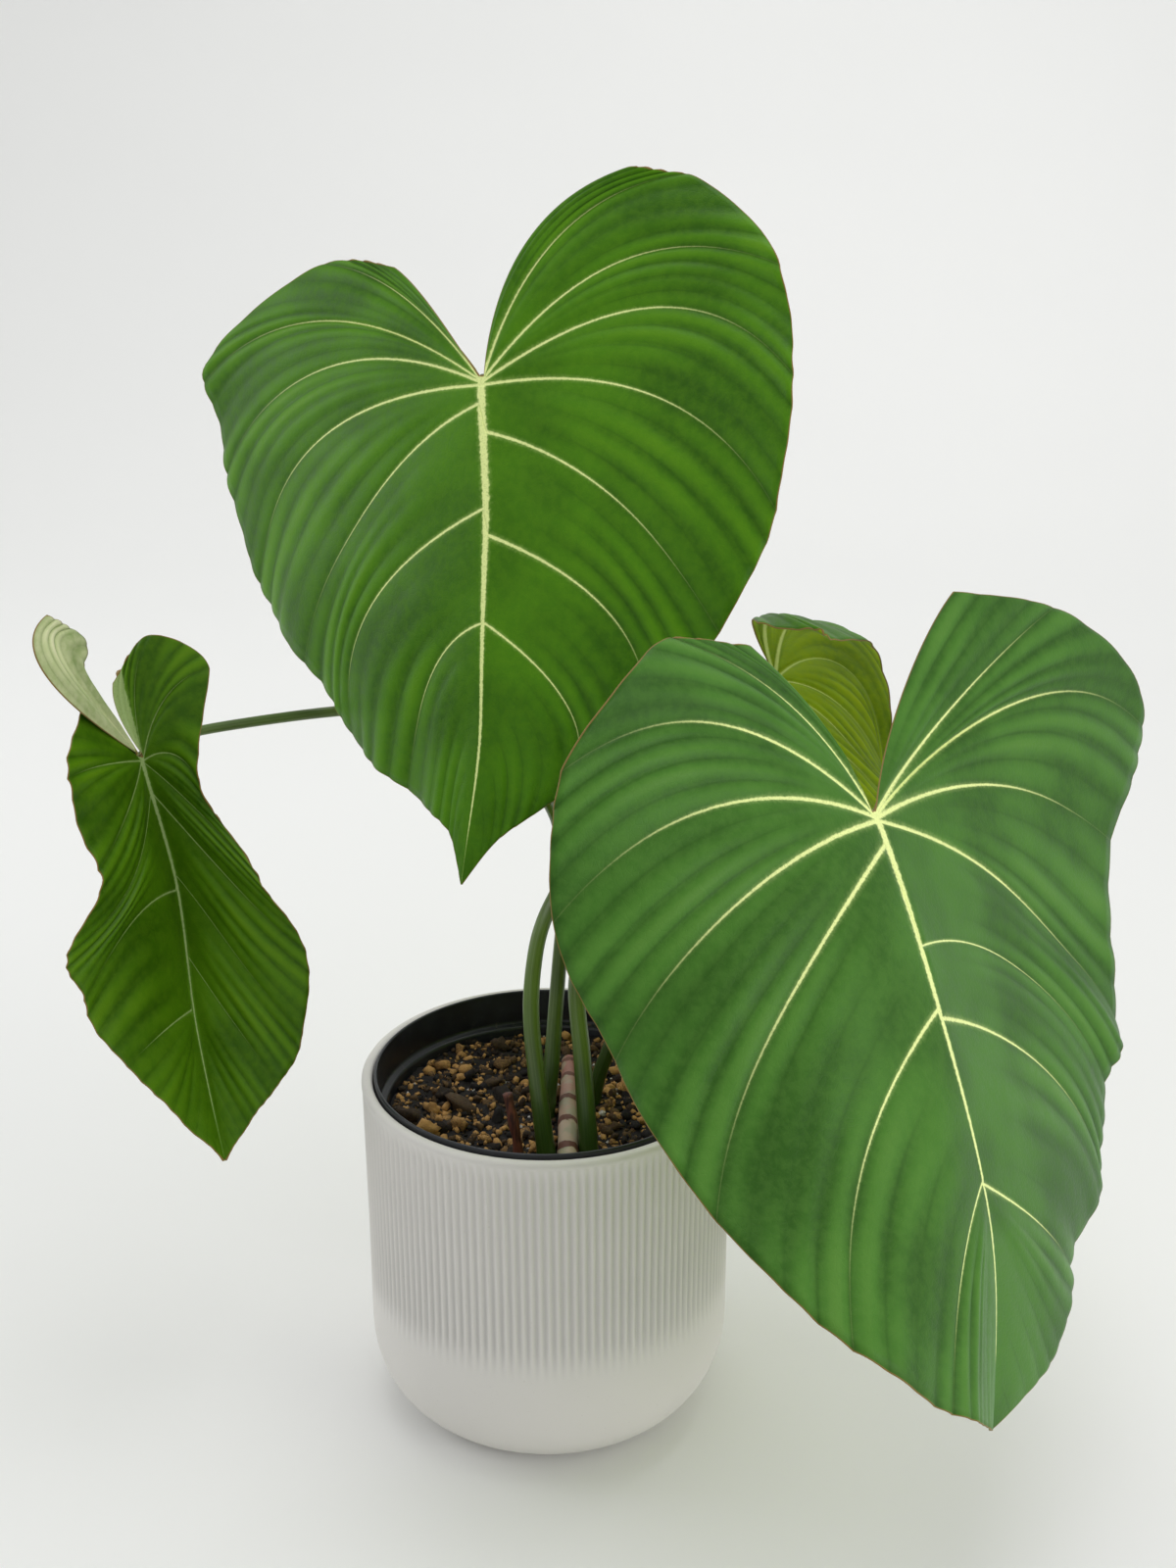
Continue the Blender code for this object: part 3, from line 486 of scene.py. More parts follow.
def vein_group():
    """Masks for the midrib, the side veins, the thin veins between them with painted shade along the pleat
    furrows, and the blade's edge.
    """
    if "Leaf Veins" in bpy.data.node_groups:
        return bpy.data.node_groups["Leaf Veins"]
    value = "NodeSocketFloat"
    group, given, result = new_group(
        "Leaf Veins",
        (("Place", "NodeSocketVector"), ("Vein Number", value), ("Share Out", value), ("Vein Gap", value),
         ("Midrib Gap", value), ("Edge Gap", value), ("Vein Shows", value), ("Along", value),
         ("Vein Width", value), ("Midrib Width", value)),
        (("Vein", value), ("Glow", value), ("Thin Vein And Furrow Shade", value), ("Edge", value), ("Net", value)))
    grit = cloud(group, given["Place"], 1500.0, 3.0, 0.7)
    ragged = calc(group, "MULTIPLY_ADD", cloud(group, given["Place"], 700.0, 2.0), 1.1, 0.45)
    taper = calc(group, "POWER", calc(group, "SUBTRACT", 1.0, given["Share Out"]), 1.7)
    taper = calc(group, "MULTIPLY_ADD", taper, 0.8, 0.2)
    width = calc(group, "MULTIPLY", calc(group, "MULTIPLY", given["Vein Width"], taper), given["Vein Shows"])
    width = calc(group, "MULTIPLY", width, ragged)
    side = ranged(group, given["Vein Gap"], calc(group, "MULTIPLY", width, 0.35), width, 1.0, 0.0)
    fade = ranged(group, given["Share Out"], 0.35, 0.92, 1.0, 0.05)
    side = calc(group, "MULTIPLY", side, fade)
    slim = ranged(group, given["Along"], 0.0, 0.75, 1.0, 0.3)
    slim = calc(group, "MULTIPLY", slim, ranged(group, given["Along"], 0.7, 0.98, 1.0, 0.2))
    rib = calc(group, "MULTIPLY", calc(group, "MULTIPLY", given["Midrib Width"], slim), ragged)
    middle = ranged(group, given["Midrib Gap"], calc(group, "MULTIPLY", rib, 0.55), rib, 1.0, 0.0)
    middle = calc(group, "MULTIPLY", middle, ranged(group, given["Along"], 0.86, 0.96, 1.0, 0.0))
    pale = calc(group, "MAXIMUM", side, middle)
    group.links.new(calc(group, "MULTIPLY", pale, ranged(group, grit, 0.32, 0.5, 0.62, 1.0)), result["Vein"])
    near = ranged(group, given["Vein Gap"], 0.0, calc(group, "MULTIPLY", width, 3.6), 1.0, 0.0)
    near = calc(group, "MULTIPLY", near, calc(group, "MULTIPLY", near, fade))
    near_rib = ranged(group, given["Midrib Gap"], 0.0, calc(group, "MULTIPLY", rib, 1.9), 1.0, 0.0)
    halo = calc(group, "MAXIMUM", near, near_rib)
    group.links.new(calc(group, "MULTIPLY", halo, ranged(group, grit, 0.4, 0.6, 0.55, 1.0)), result["Glow"])
    # Thin veins and painted shade: dark lines along the bottoms of the pleat furrows
    stripe = calc(group, "FRACT", calc(group, "MULTIPLY_ADD", given["Vein Number"], float(PLEATS), 0.5))
    stripe = calc(group, "ABSOLUTE", calc(group, "SUBTRACT", stripe, 0.5))
    stripe = ranged(group, stripe, 0.0, 0.09, 1.0, 0.0)
    group.links.new(calc(group, "MULTIPLY", stripe, ranged(group, given["Share Out"], 0.15, 0.5)),
                    result["Thin Vein And Furrow Shade"])
    group.links.new(ranged(group, given["Edge Gap"], 0.0001, 0.0004, 1.0, 0.0), result["Edge"])
    cells = add_node(group, "ShaderNodeTexVoronoi", {"Vector": given["Place"], "Scale": 420.0},
                     feature="DISTANCE_TO_EDGE")
    group.links.new(ranged(group, cells.outputs["Distance"], 0.0, 0.12), result["Net"])
    return group


def new_material(name):
    """Material with its tree and its Principled shader."""
    made = bpy.data.materials.new(name)
    made.use_nodes = True
    return made, made.node_tree, made.node_tree.nodes["Principled BSDF"]


def bumped(tree, shader, height, strength, distance):
    """Feed a height into the shader's normal."""
    feeds = {"Height": height, "Strength": strength, "Distance": distance}
    tree.links.new(add_node(tree, "ShaderNodeBump", feeds).outputs["Normal"], shader.inputs["Normal"])


def leaf_material(name, tissue, cream, vein_width, midrib_width, edge_colour, sheen, is_under=False):
    """Leaf tissue with pale veins, painted shade in the pleat valleys and furrows and a painted highlight on
    the pleat crests; the underside has duller tissue and greener raised veins.
    """
    made, tree, shader = new_material(name)
    place = object_place(tree)
    feeds = {"Place": place, "Vein Width": vein_width, "Midrib Width": midrib_width}
    for measure in ("Vein Number", "Share Out", "Vein Gap", "Midrib Gap", "Edge Gap", "Vein Shows", "Along"):
        feeds[measure] = attribute(tree, measure.lower().replace(" ", "_"))
    veins = add_node(tree, "ShaderNodeGroup", node_tree=vein_group())
    feed(tree, veins, feeds)
    mottle = add_node(tree, "ShaderNodeGroup", node_tree=mottle_group())
    feed(tree, mottle, {"Place": place, "Large Scale": 22.0, "Small Scale": 260.0})
    ridge = attribute(tree, "ridge")
    # Painted shade and painted light: shaded and sunlit copies of the tissue colour
    deep = [channel * factor for channel, factor in zip(tissue, SHADED_SHARE)]
    pale_and_sunlit_tissue = [min(1.0, channel * factor) for channel, factor in zip(tissue, SUNLIT_SHARE)]
    # Painted shade towards the pleat valleys, mixed with a random tone
    pleat_shade_and_tone = calc(tree, "MULTIPLY_ADD", ridge, 0.75, calc(tree, "MULTIPLY", mottle.outputs["Large"], 0.42))
    colour = mixed(tree, ranged(tree, pleat_shade_and_tone, 0.1, 0.92), deep, tissue)
    # Painted highlight on the pleat crests
    crest_highlight = calc(tree, "MULTIPLY", ranged(tree, ridge, 0.6, 1.0), mottle.outputs["Large"])
    colour = mixed(tree, calc(tree, "MULTIPLY", crest_highlight, 0.55), colour, pale_and_sunlit_tissue)
    colour = mixed(tree, calc(tree, "MULTIPLY", mottle.outputs["Small"], 0.18), colour, pale_and_sunlit_tissue)
    # Thin veins and painted furrow shade darken the tissue
    colour = mixed(tree, calc(tree, "MULTIPLY", veins.outputs["Thin Vein And Furrow Shade"], 0.3), colour, deep)
    colour = mixed(tree, calc(tree, "MULTIPLY", veins.outputs["Glow"], 0.6), colour,
                   [0.75 * low + 0.35 * high for low, high in zip(pale_and_sunlit_tissue, cream)])
    if is_under:
        vein_colour = [0.35 * low + 0.65 * high for low, high in zip(tissue, cream)]
    else:
        vein_colour = cream
    colour = mixed(tree, veins.outputs["Vein"], colour, vein_colour)
    colour = mixed(tree, veins.outputs["Edge"], colour, edge_colour)
    tree.links.new(colour, shader.inputs["Base Color"])
    rough = calc(tree, "MULTIPLY_ADD", mottle.outputs["Small"], 0.10, 0.62 if is_under else 0.42)
    tree.links.new(rough, shader.inputs["Roughness"])
    height = calc(tree, "MULTIPLY_ADD", mottle.outputs["Small"], 0.35, veins.outputs["Net"])
    bumped(tree, shader, height, 0.20, 0.0002)
    shader.inputs["Specular IOR Level"].default_value = LEAF_SHINE
    shader.inputs["Sheen Weight"].default_value = sheen
    shader.inputs["Sheen Roughness"].default_value = 0.35
    shader.inputs["Sheen Tint"].default_value = SHEEN_TINT
    return made


def stalk_material(name, colour, pale):
    """Satin stalk with soft lengthwise streaks and a darker base."""
    made, tree, shader = new_material(name)
    around = add_node(tree, "ShaderNodeCombineXYZ", {
        0: attribute(tree, "round_x"), 1: attribute(tree, "round_y"),
        2: calc(tree, "MULTIPLY", attribute(tree, "along"), 3.0)}).outputs[0]
    streak = ranged(tree, cloud(tree, around, 5.0, 3.0, 0.6), 0.42, 0.66)
    patch = ranged(tree, cloud(tree, object_place(tree), 28.0, 2.0), 0.35, 0.7)
    deep = [channel * 0.55 for channel in colour]
    tone = mixed(tree, patch, deep, colour)
    tone = mixed(tree, calc(tree, "MULTIPLY", streak, 0.25), tone, pale)
    low = ranged(tree, attribute(tree, "along"), 0.015, 0.065, 1.0, 0.0)
    tone = mixed(tree, calc(tree, "MULTIPLY", low, 0.75), tone, STALK_BASE_GREEN)
    tree.links.new(tone, shader.inputs["Base Color"])
    tree.links.new(calc(tree, "MULTIPLY_ADD", streak, 0.12, 0.30), shader.inputs["Roughness"])
    bumped(tree, shader, streak, 0.12, 0.0002)
    return made


def rhizome_material(cream, brown):
    """Cream and pink creeping stem with ragged brown bands at its scars."""
    made, tree, shader = new_material("creeping_stem_bark")
    place = object_place(tree)
    torn = cloud(tree, place, 330.0, 4.0, 0.65)
    tear = calc(tree, "MULTIPLY", calc(tree, "SUBTRACT", torn, 0.5), 1.6)
    edge = calc(tree, "ADD", attribute(tree, "ring"), tear)
    band = ranged(tree, edge, 0.40, 0.62)
    tone = mixed(tree, attribute(tree, "segment"), cream, STEM_PINK)
    moss = ranged(tree, cloud(tree, place, 120.0, 2.0), 0.45, 0.6)
    tone = mixed(tree, calc(tree, "MULTIPLY", moss, 0.6), tone, STEM_MOSS)
    tone = mixed(tree, band, tone, brown)
    tree.links.new(tone, shader.inputs["Base Color"])
    tree.links.new(calc(tree, "MULTIPLY_ADD", band, 0.2, 0.45), shader.inputs["Roughness"])
    bumped(tree, shader, calc(tree, "ADD", torn, band), 0.6, 0.0005)
    return made


def dry_material(name, colour, dark):
    """Dry fibrous tissue."""
    made, tree, shader = new_material(name)
    place = object_place(tree)
    stretched = add_node(tree, "ShaderNodeMapping", {0: place, 3: (1.0, 1.0, 0.12)}).outputs[0]
    fibre = cloud(tree, stretched, 900.0, 3.0)
    tone = mixed(tree, ranged(tree, fibre, 0.38, 0.62), dark, colour)
    tree.links.new(tone, shader.inputs["Base Color"])
    shader.inputs["Roughness"].default_value = 0.75
    bumped(tree, shader, fibre, 0.6, 0.0004)
    return made


def ceramic_material(colour):
    """Unglazed white ceramic with a faint grain and painted shade in the valleys between the ribs."""
    made, tree, shader = new_material("matt_white_ceramic")
    place = object_place(tree)
    grain = cloud(tree, place, 2600.0, 3.0)
    stain = ranged(tree, cloud(tree, place, 16.0, 3.0), 0.35, 0.75)
    tone = mixed(tree, calc(tree, "MULTIPLY", stain, 0.35), colour, [channel * 0.93 for channel in colour])
    speck = ranged(tree, cloud(tree, place, 1400.0, 1.0), 0.74, 0.80)
    tone = mixed(tree, calc(tree, "MULTIPLY", speck, 0.35), tone, SPECK_GREY)
    # Painted shade: greyer where the surface sinks between the ribs
    tone = mixed(tree, calc(tree, "MULTIPLY", attribute(tree, "valley"), 0.45), tone, RIB_VALLEY_SHADE)
    tree.links.new(tone, shader.inputs["Base Color"])
    tree.links.new(calc(tree, "MULTIPLY_ADD", grain, 0.15, 0.50), shader.inputs["Roughness"])
    bumped(tree, shader, grain, 0.15, 0.0002)
    return made


def plastic_material(colour):
    """Thin black plastic with scuffs and a little dried soil dust."""
    made, tree, shader = new_material("black_growing_pot_plastic")
    place = object_place(tree)
    scuff = ranged(tree, cloud(tree, place, 60.0, 6.0, 0.7), 0.45, 0.8)
    dust = ranged(tree, cloud(tree, place, 240.0, 4.0, 0.7), 0.60, 0.75)
    height = add_node(tree, "ShaderNodeSeparateXYZ", {0: place}).outputs[2]
    low = ranged(tree, height, SOIL_TOP, SOIL_TOP + 0.010, 1.0, 0.1)
    tone = mixed(tree, calc(tree, "MULTIPLY", scuff, 0.5), colour, SCUFF_GREY)
    tone = mixed(tree, calc(tree, "MULTIPLY", dust, low), tone, DUST_BROWN)
    tree.links.new(tone, shader.inputs["Base Color"])
    tree.links.new(calc(tree, "MULTIPLY_ADD", scuff, 0.22, 0.30), shader.inputs["Roughness"])
    bumped(tree, shader, scuff, 0.2, 0.0002)
    return made


def bark_material(name, dark, tan, pale_share):
    """Bark whose tone comes from each chip's own tone attribute."""
    made, tree, shader = new_material(name)
    place = object_place(tree)
    grain = cloud(tree, place, 1500.0, 4.0, 0.65)
    tone = attribute(tree, "tone")
    share = calc(tree, "ADD", tone, calc(tree, "MULTIPLY", calc(tree, "SUBTRACT", grain, 0.5), 0.5))
    middle = [0.5 * low + 0.22 * high for low, high in zip(dark, tan)]
    colour = mixed(tree, ranged(tree, share, 0.1, 0.6), dark, middle)
    colour = mixed(tree, ranged(tree, share, pale_share, pale_share + 0.25), colour, tan)
    tree.links.new(colour, shader.inputs["Base Color"])
    shader.inputs["Roughness"].default_value = 0.85
    bumped(tree, shader, grain, 0.8, 0.0006)
    return made


def grain_material():
    """White expanded mineral grains, slightly dirty."""
    made, tree, shader = new_material("white_mineral_grain")
    place = object_place(tree)
    dirt = ranged(tree, cloud(tree, place, 700.0, 4.0, 0.65), 0.4, 0.7)
    tone = mixed(tree, dirt, GRAIN_WHITE, GRAIN_DIRT)
    tree.links.new(tone, shader.inputs["Base Color"])
    shader.inputs["Roughness"].default_value = 0.8
    bumped(tree, shader, cloud(tree, place, 1800.0, 3.0), 0.7, 0.0004)
    return made


# Mesh helpers


def finish_piece(name, shape, materials, nodes=()):
    """Make the object of a piece, hand it to the frame and return it."""
    mesh = bpy.data.meshes.new(name)
    shape.to_mesh(mesh)
    shape.free()
    made = bpy.data.objects.new(name, mesh)
    bpy.context.scene.collection.objects.link(made)
    for material in materials:
        mesh.materials.append(material)
    for face in mesh.polygons:
        face.use_smooth = True
    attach(made, "root")
    if nodes:
        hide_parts(*nodes)
    return made


def set_values(made, name, values):
    """Store one number for each vertex."""
    layer = made.data.attributes.new(name, "FLOAT", "POINT")
    layer.data.foreach_set("value", np.ascontiguousarray(values, dtype=np.float32))


def vertex_places(made):
    """Places of all vertices of a piece."""
    places = np.zeros(len(made.data.vertices) * 3)
    made.data.vertices.foreach_get("co", places)
    return places.reshape(-1, 3)


def smooth_route(points, count):
    """Even steps on a smooth curve that runs through the points."""
    ends = [2 * Vector(points[0]) - Vector(points[1])]
    ends += [Vector(point) for point in points]
    ends.append(2 * Vector(points[-1]) - Vector(points[-2]))
    fine = []
    for index in range(1, len(ends) - 2):
        before, start, stop, after = ends[index - 1:index + 3]
        for part in np.linspace(0.0, 1.0, 12, endpoint=False):
            even = 2 * start + (stop - before) * part
            even += (2 * before - 5 * start + 4 * stop - after) * part ** 2
            even += (3 * start - before - 3 * stop + after) * part ** 3
            fine.append(0.5 * even)
    fine.append(ends[-2])
    fine = np.array([tuple(point) for point in fine])
    lengths = np.linalg.norm(np.diff(fine, axis=0), axis=1)
    along = np.concatenate(([0.0], np.cumsum(lengths)))
    wanted = np.linspace(0.0, along[-1], count)
    return np.stack([np.interp(wanted, along, fine[:, axis]) for axis in range(3)], axis=1)


def tube_shape(route, radii, sides):
    """Closed tube along a route."""
    count = len(route)
    shape = bmesh.new()
    bmesh.ops.create_grid(shape, x_segments=sides, y_segments=count - 1, size=1.0)
    shape.verts.ensure_lookup_table()
    ahead = np.gradient(route, axis=0)
    ahead /= np.linalg.norm(ahead, axis=1)[:, None]
    sideways = np.cross(ahead[0], (0.0, 1.0, 0.3))
    frames = []
    for direction in ahead:
        sideways = sideways - direction * np.dot(sideways, direction)
        sideways = sideways / np.linalg.norm(sideways)
        frames.append((sideways, np.cross(direction, sideways)))
    for vert in shape.verts:
        step = int(round((vert.co.y + 1) / 2 * (count - 1)))
        angle = (vert.co.x + 1) * math.pi
        side, other = frames[step]
        offset = (side * math.cos(angle) + other * math.sin(angle)) * radii[step]
        vert.co = route[step] + offset
    bmesh.ops.remove_doubles(shape, verts=shape.verts, dist=0.000002)
    bmesh.ops.holes_fill(shape, edges=shape.edges, sides=0)
    bmesh.ops.recalc_face_normals(shape, faces=shape.faces)
    return shape


def mark_tube(made, route, radii):
    """Store where each vertex of a tube lies round it and along it, and return the nearest route steps."""
    places = vertex_places(made)
    gaps = np.linalg.norm(places[:, None] - route[None], axis=2)
    nearest = gaps.argmin(axis=1)
    offset = (places - route[nearest]) / np.maximum(radii[nearest][:, None], 0.0001)
    lengths = np.concatenate(([0.0], np.cumsum(np.linalg.norm(np.diff(route, axis=0), axis=1))))
    ahead = np.gradient(route, axis=0)
    ahead /= np.linalg.norm(ahead, axis=1)[:, None]
    sideways = np.cross(ahead, (0.31, 0.95, 0.1))
    sideways /= np.linalg.norm(sideways, axis=1)[:, None]
    other = np.cross(ahead, sideways)
    set_values(made, "round_x", np.sum(offset * sideways[nearest], axis=1))
    set_values(made, "round_y", np.sum(offset * other[nearest], axis=1))
    set_values(made, "along", lengths[nearest])
    return nearest


def turned_shape(profile, steps):
    """Turn a profile of radius and height pairs once round Z."""
    shape = bmesh.new()
    verts = [shape.verts.new((radius, 0.0, height)) for radius, height in profile]
    edges = [shape.edges.new(pair) for pair in zip(verts, verts[1:])]
    bmesh.ops.spin(shape, geom=verts + edges, cent=(0, 0, 0), axis=(0, 0, 1), angle=2 * math.pi,
                   steps=steps, use_merge=True)
    bmesh.ops.remove_doubles(shape, verts=shape.verts, dist=0.000002)
    bmesh.ops.recalc_face_normals(shape, faces=shape.faces)
    return shape


# Leaf blades


def eased(values, where):
    """Smooth run through evenly spaced values without overshoot."""
    values = np.asarray(values, float)
    rise = np.diff(values)
    slope = np.zeros(len(values))
    slope[0] = rise[0]
    slope[-1] = rise[-1]
    for index in range(1, len(values) - 1):
        product = rise[index - 1] * rise[index]
        if product > 0:
            slope[index] = 2 * product / (rise[index - 1] + rise[index])
    cell = np.clip(np.floor(where).astype(int), 0, len(values) - 2)
    part = where - cell
    return ((2 * part ** 3 - 3 * part ** 2 + 1) * values[cell]
            + (part ** 3 - 2 * part ** 2 + part) * slope[cell]
            + (3 * part ** 2 - 2 * part ** 3) * values[cell + 1]
            + (part ** 3 - part ** 2) * slope[cell + 1])


def flat_place(side, vein, out):
    """Place on the flat blade, along and across, for a vein number and a share of the way out."""
    start = eased(FIRST_STARTS + side["starts"] + LAST_STARTS, vein)
    bows = np.array(side["bows"] + (TIP_BOW,))
    ends = np.array(side["ends"] + (TIP_END,))
    inner = (1 - out) ** 2
    middle = 2 * out * (1 - out)
    along = inner * start + middle * eased(bows[:, 0], vein) + out ** 2 * eased(ends[:, 0], vein)
    half = MIDRIB_HALF * (1 - TIP_NARROWING * np.clip(vein - LAST_VEIN + 1, 0, 1) ** 2)
    across = inner * half + middle * eased(bows[:, 1], vein) + out ** 2 * eased(ends[:, 1], vein)
    return along, across


def lobe_twist(side, vein, out):
    """How far a twisted basal lobe leans to the front, in blade lengths."""
    bow = eased(side.get("front_bows", NO_TWIST), vein)
    return 2 * out * (1 - out) * bow + out ** 2 * eased(side.get("front_ends", NO_TWIST), vein)


def blade_axes(blade):
    """Directions along the blade, to its right, and out of its upper side."""
    heading, pitch, roll = (math.radians(blade[name]) for name in ("heading", "pitch", "roll"))
    ahead = np.array((
        math.sin(heading) * math.cos(pitch), -math.cos(heading) * math.cos(pitch), -math.sin(pitch)))
    level = np.array((0.0, 0.0, 1.0)) - ahead * -math.sin(pitch)
    level /= np.linalg.norm(level)
    upper = level * math.cos(roll) + np.cross(level, ahead) * math.sin(roll)
    return ahead, np.cross(upper, ahead), upper


def bent_place(blade, side, sign, along, across):
    """Carry a flat place onto the folded, curled and drooping blade."""
    share = np.clip((along + 0.4) / 1.4, 0.0, 1.0) * 2
    fold = np.radians(eased(side["fold"], share))
    curl = np.radians(eased(side["curl"], share))
    curl = np.where(np.abs(curl) < 0.001, 0.001, curl)
    turn = fold + curl * across / CURL_SPAN
    sideways = CURL_SPAN / curl * (np.sin(turn) - np.sin(fold))
    raised = -CURL_SPAN / curl * (np.cos(turn) - np.cos(fold))
    bend = np.radians(np.where(along < 0, blade["lobe_droop"], blade["droop"]))
    angle = bend * along
    ahead, right, upper = (axis[:, None] for axis in blade_axes(blade))
    sway = np.array((0.0,) + blade["sway"])
    ahead_sway = eased(sway, np.clip(along, 0.0, 1.0) * (len(sway) - 1))
    sideward = np.where(along > 0, ahead_sway, along * sway[1] * (len(sway) - 1))
    normal = np.cos(angle) * upper + np.sin(angle) * ahead
    place = np.sin(angle) / bend * ahead - (1 - np.cos(angle)) / bend * upper
    place = place + (sign * sideways + sideward) * right + raised * normal
    return np.array(blade["joint"])[:, None] + blade["length"] * place


def across_gap(step, other):
    """Length of a step measured square to another direction."""
    other = other / np.maximum(np.linalg.norm(other, axis=0), 1e-9)
    square = step - other * np.sum(step * other, axis=0)
    return np.linalg.norm(square, axis=0)


def half_blade(blade, side, sign, vein, out, shown, settings):
    """Places and measures of one half of a blade."""
    along, across = flat_place(side, vein, out)
    place = bent_place(blade, side, sign, along, across)
    nudge = 0.002
    ahead = bent_place(blade, side, sign, along + nudge, across) - place
    outward = bent_place(blade, side, sign, along, across + nudge) - place
    normal = sign * np.cross(ahead, outward, axis=0)
    normal /= np.linalg.norm(normal, axis=0)
    small = 0.01
    inner = np.where(out > 0.5, -small, small)
    back = np.where(vein > LAST_VEIN / 2, -small, small)
    vein_step = (bent_place(blade, side, sign, *flat_place(side, vein + back, out)) - place) / small
    out_step = (bent_place(blade, side, sign, *flat_place(side, vein, out + inner)) - place) / small
    column_width = across_gap(vein_step, out_step)
    row_width = across_gap(out_step, vein_step)
    nearest = np.clip(np.rint(vein), 1, LAST_VEIN - 1)
    vein_gap = np.abs(vein - nearest) * column_width
    edge_gap = np.minimum((1 - out) * row_width, vein * column_width)
    shows = np.array(shown)[nearest.astype(int)]
    fade = np.clip((LAST_VEIN - vein) / 2, 0, 1)
    quilt = (1 - np.cos(2 * math.pi * vein)) / 2 * np.clip(out * 4, 0, 1) * np.clip((1.15 - out) * 2, 0, 1)
    wave = np.sin(vein * 4.1 + blade["wave_phase"]) + 0.6 * np.sin(vein * 6.7 + 2 * blade["wave_phase"])
    height = (QUILT_HEIGHT * quilt + EDGE_WAVE * wave * out ** 4) * fade
    warp = PLEAT_WARP * np.sin(3.3 * vein + 5.0 * out + blade["wave_phase"])
    pleat = np.abs(np.sin(math.pi * (PLEATS * vein + warp * np.sin(math.pi * vein) ** 2)))
    uneven = 0.65 + 0.35 * np.sin(vein * 5.3 + out * 3.1 + blade["wave_phase"] * 3)
    spread = np.clip(out * 2.2 - 0.25, 0, 1) * fade
    height += settings.furrow_depth * (pleat - PLEAT_REST) * uneven * spread
    groove = np.exp(-(vein_gap / (settings.vein_width * GROOVE_WIDTH)) ** 2) * shows * (1 - 0.7 * out)
    height -= GROOVE_DEPTH * groove * fade
    place[1] -= blade["length"] * lobe_twist(side, vein, out)
    measures = {
        "vein_number": vein, "share_out": out, "vein_gap": vein_gap, "edge_gap": edge_gap,
        "midrib_gap": across * blade["length"], "vein_shows": shows, "along": np.clip(along, 0, 1),
        "ridge": 0.5 + (pleat * uneven - 0.5) * spread}
    return place + normal * height, measures


def blade_thickness(measures, settings):
    """Share of the full rib thickness for each vertex: thin tissue, thick ribs under the veins."""
    thin = settings.thickness / settings.rib_thickness
    taper = 1 - 0.75 * measures["along"]
    rib = np.exp(-(measures["midrib_gap"] / RIB_WIDTH) ** 2) * taper
    side = np.exp(-(measures["vein_gap"] / SIDE_RIB_WIDTH) ** 2) * SIDE_RIB_SHARE
    side = side * (1 - 0.8 * measures["share_out"])
    side = side * measures["vein_shows"]
    return np.clip(thin + (1 - thin) * np.maximum(rib, side), thin, 1.0)


def build_blade(name, upper, under):
    """One blade as a fine grid aligned to its veins, given its thickness by Solidify."""
    settings = bpy.context.scene.aroid_leaf
    blade = BLADES[name]
    side_cells = settings.cells_across
    across_cells = 2 * side_cells + 4
    shape = bmesh.new()
    bmesh.ops.create_grid(shape, x_segments=LAST_VEIN * settings.cells_between_veins,
                          y_segments=across_cells, size=1.0)
    shape.verts.ensure_lookup_table()
    flat = np.array([tuple(vert.co) for vert in shape.verts])
    vein = (flat[:, 0] + 1) / 2 * LAST_VEIN
    row = np.rint((flat[:, 1] + 1) / 2 * across_cells) - side_cells - 2
    out = np.clip((np.abs(row) - 2) / side_cells, 0, 1)
    shown_left, shown_right = VEIN_SHOWS[name]
    left, left_measures = half_blade(blade, blade["left"], -1, vein, out, shown_left, settings)
    right, right_measures = half_blade(blade, blade["right"], 1, vein, out, shown_right, settings)
    share = np.clip((row + 2) / 4, 0, 1)
    place = left * (1 - share) + right * share
    measures = {key: np.where(row < 0, left_measures[key], right_measures[key]) for key in left_measures}
    measures["midrib_gap"] = np.where(np.abs(row) < 2, measures["midrib_gap"] * np.abs(row) / 2,
                                      measures["midrib_gap"])
    for vert, target in zip(shape.verts, place.T):
        vert.co = target
    bmesh.ops.triangulate(shape, faces=shape.faces, quad_method="SHORT_EDGE")
    made = finish_piece(name + "_leaf", shape, (upper, under), (name,))
    for key, values in measures.items():
        set_values(made, key, values)
    group = made.vertex_groups.new(name="thickness")
    for index, weight in enumerate(blade_thickness(measures, settings)):
        group.add((index,), float(weight), "REPLACE")
    solid = made.modifiers.new("Solidify", "SOLIDIFY")
    solid.thickness = settings.rib_thickness
    solid.offset = -1.0
    solid.vertex_group = group.name
    solid.material_offset = 1
    solid.material_offset_rim = 1
    return made


class AROID_OT_blades(bpy.types.Operator):
    """Build the four leaf blades"""
    bl_idname = "aroid.build_blades"
    bl_label = "Leaf blades"

    def execute(self, context):
        settings = context.scene.aroid_leaf
        cream = settings.vein_cream
        width = settings.vein_width
        edge = MARGIN_TAN
        # The underside colour holds painted light shining through the leaf
        under = leaf_material("leaf_underside", settings.under_green_lit_through, cream, width * 0.8, width * 2.0, edge,
                              0.1, True)
        pale = leaf_material("pale_leaf_underside", PALE_UNDERSIDE, cream, width * 0.8, width * 1.6, edge,
                             0.1, True)
        bright = leaf_material("bright_leaf", settings.bright_green, cream, width * 1.1, width * 2.6, edge,
                               0.0)
        velvet = leaf_material("velvet_leaf", settings.velvet_green, cream, width * 1.5, width * 2.8, edge,
                               VELVET_SHEEN)
        dark = leaf_material("dark_leaf", settings.dark_green, FADED_VEIN, width * 0.8, width * 1.4, edge,
                             0.0)
        build_blade("blade_back", bright, under)
        build_blade("blade_front", velvet, under)
        build_blade("blade_left", dark, pale)
        build_blade("blade_rear", bright, under)
        return {"FINISHED"}


# Stalks and creeping stem


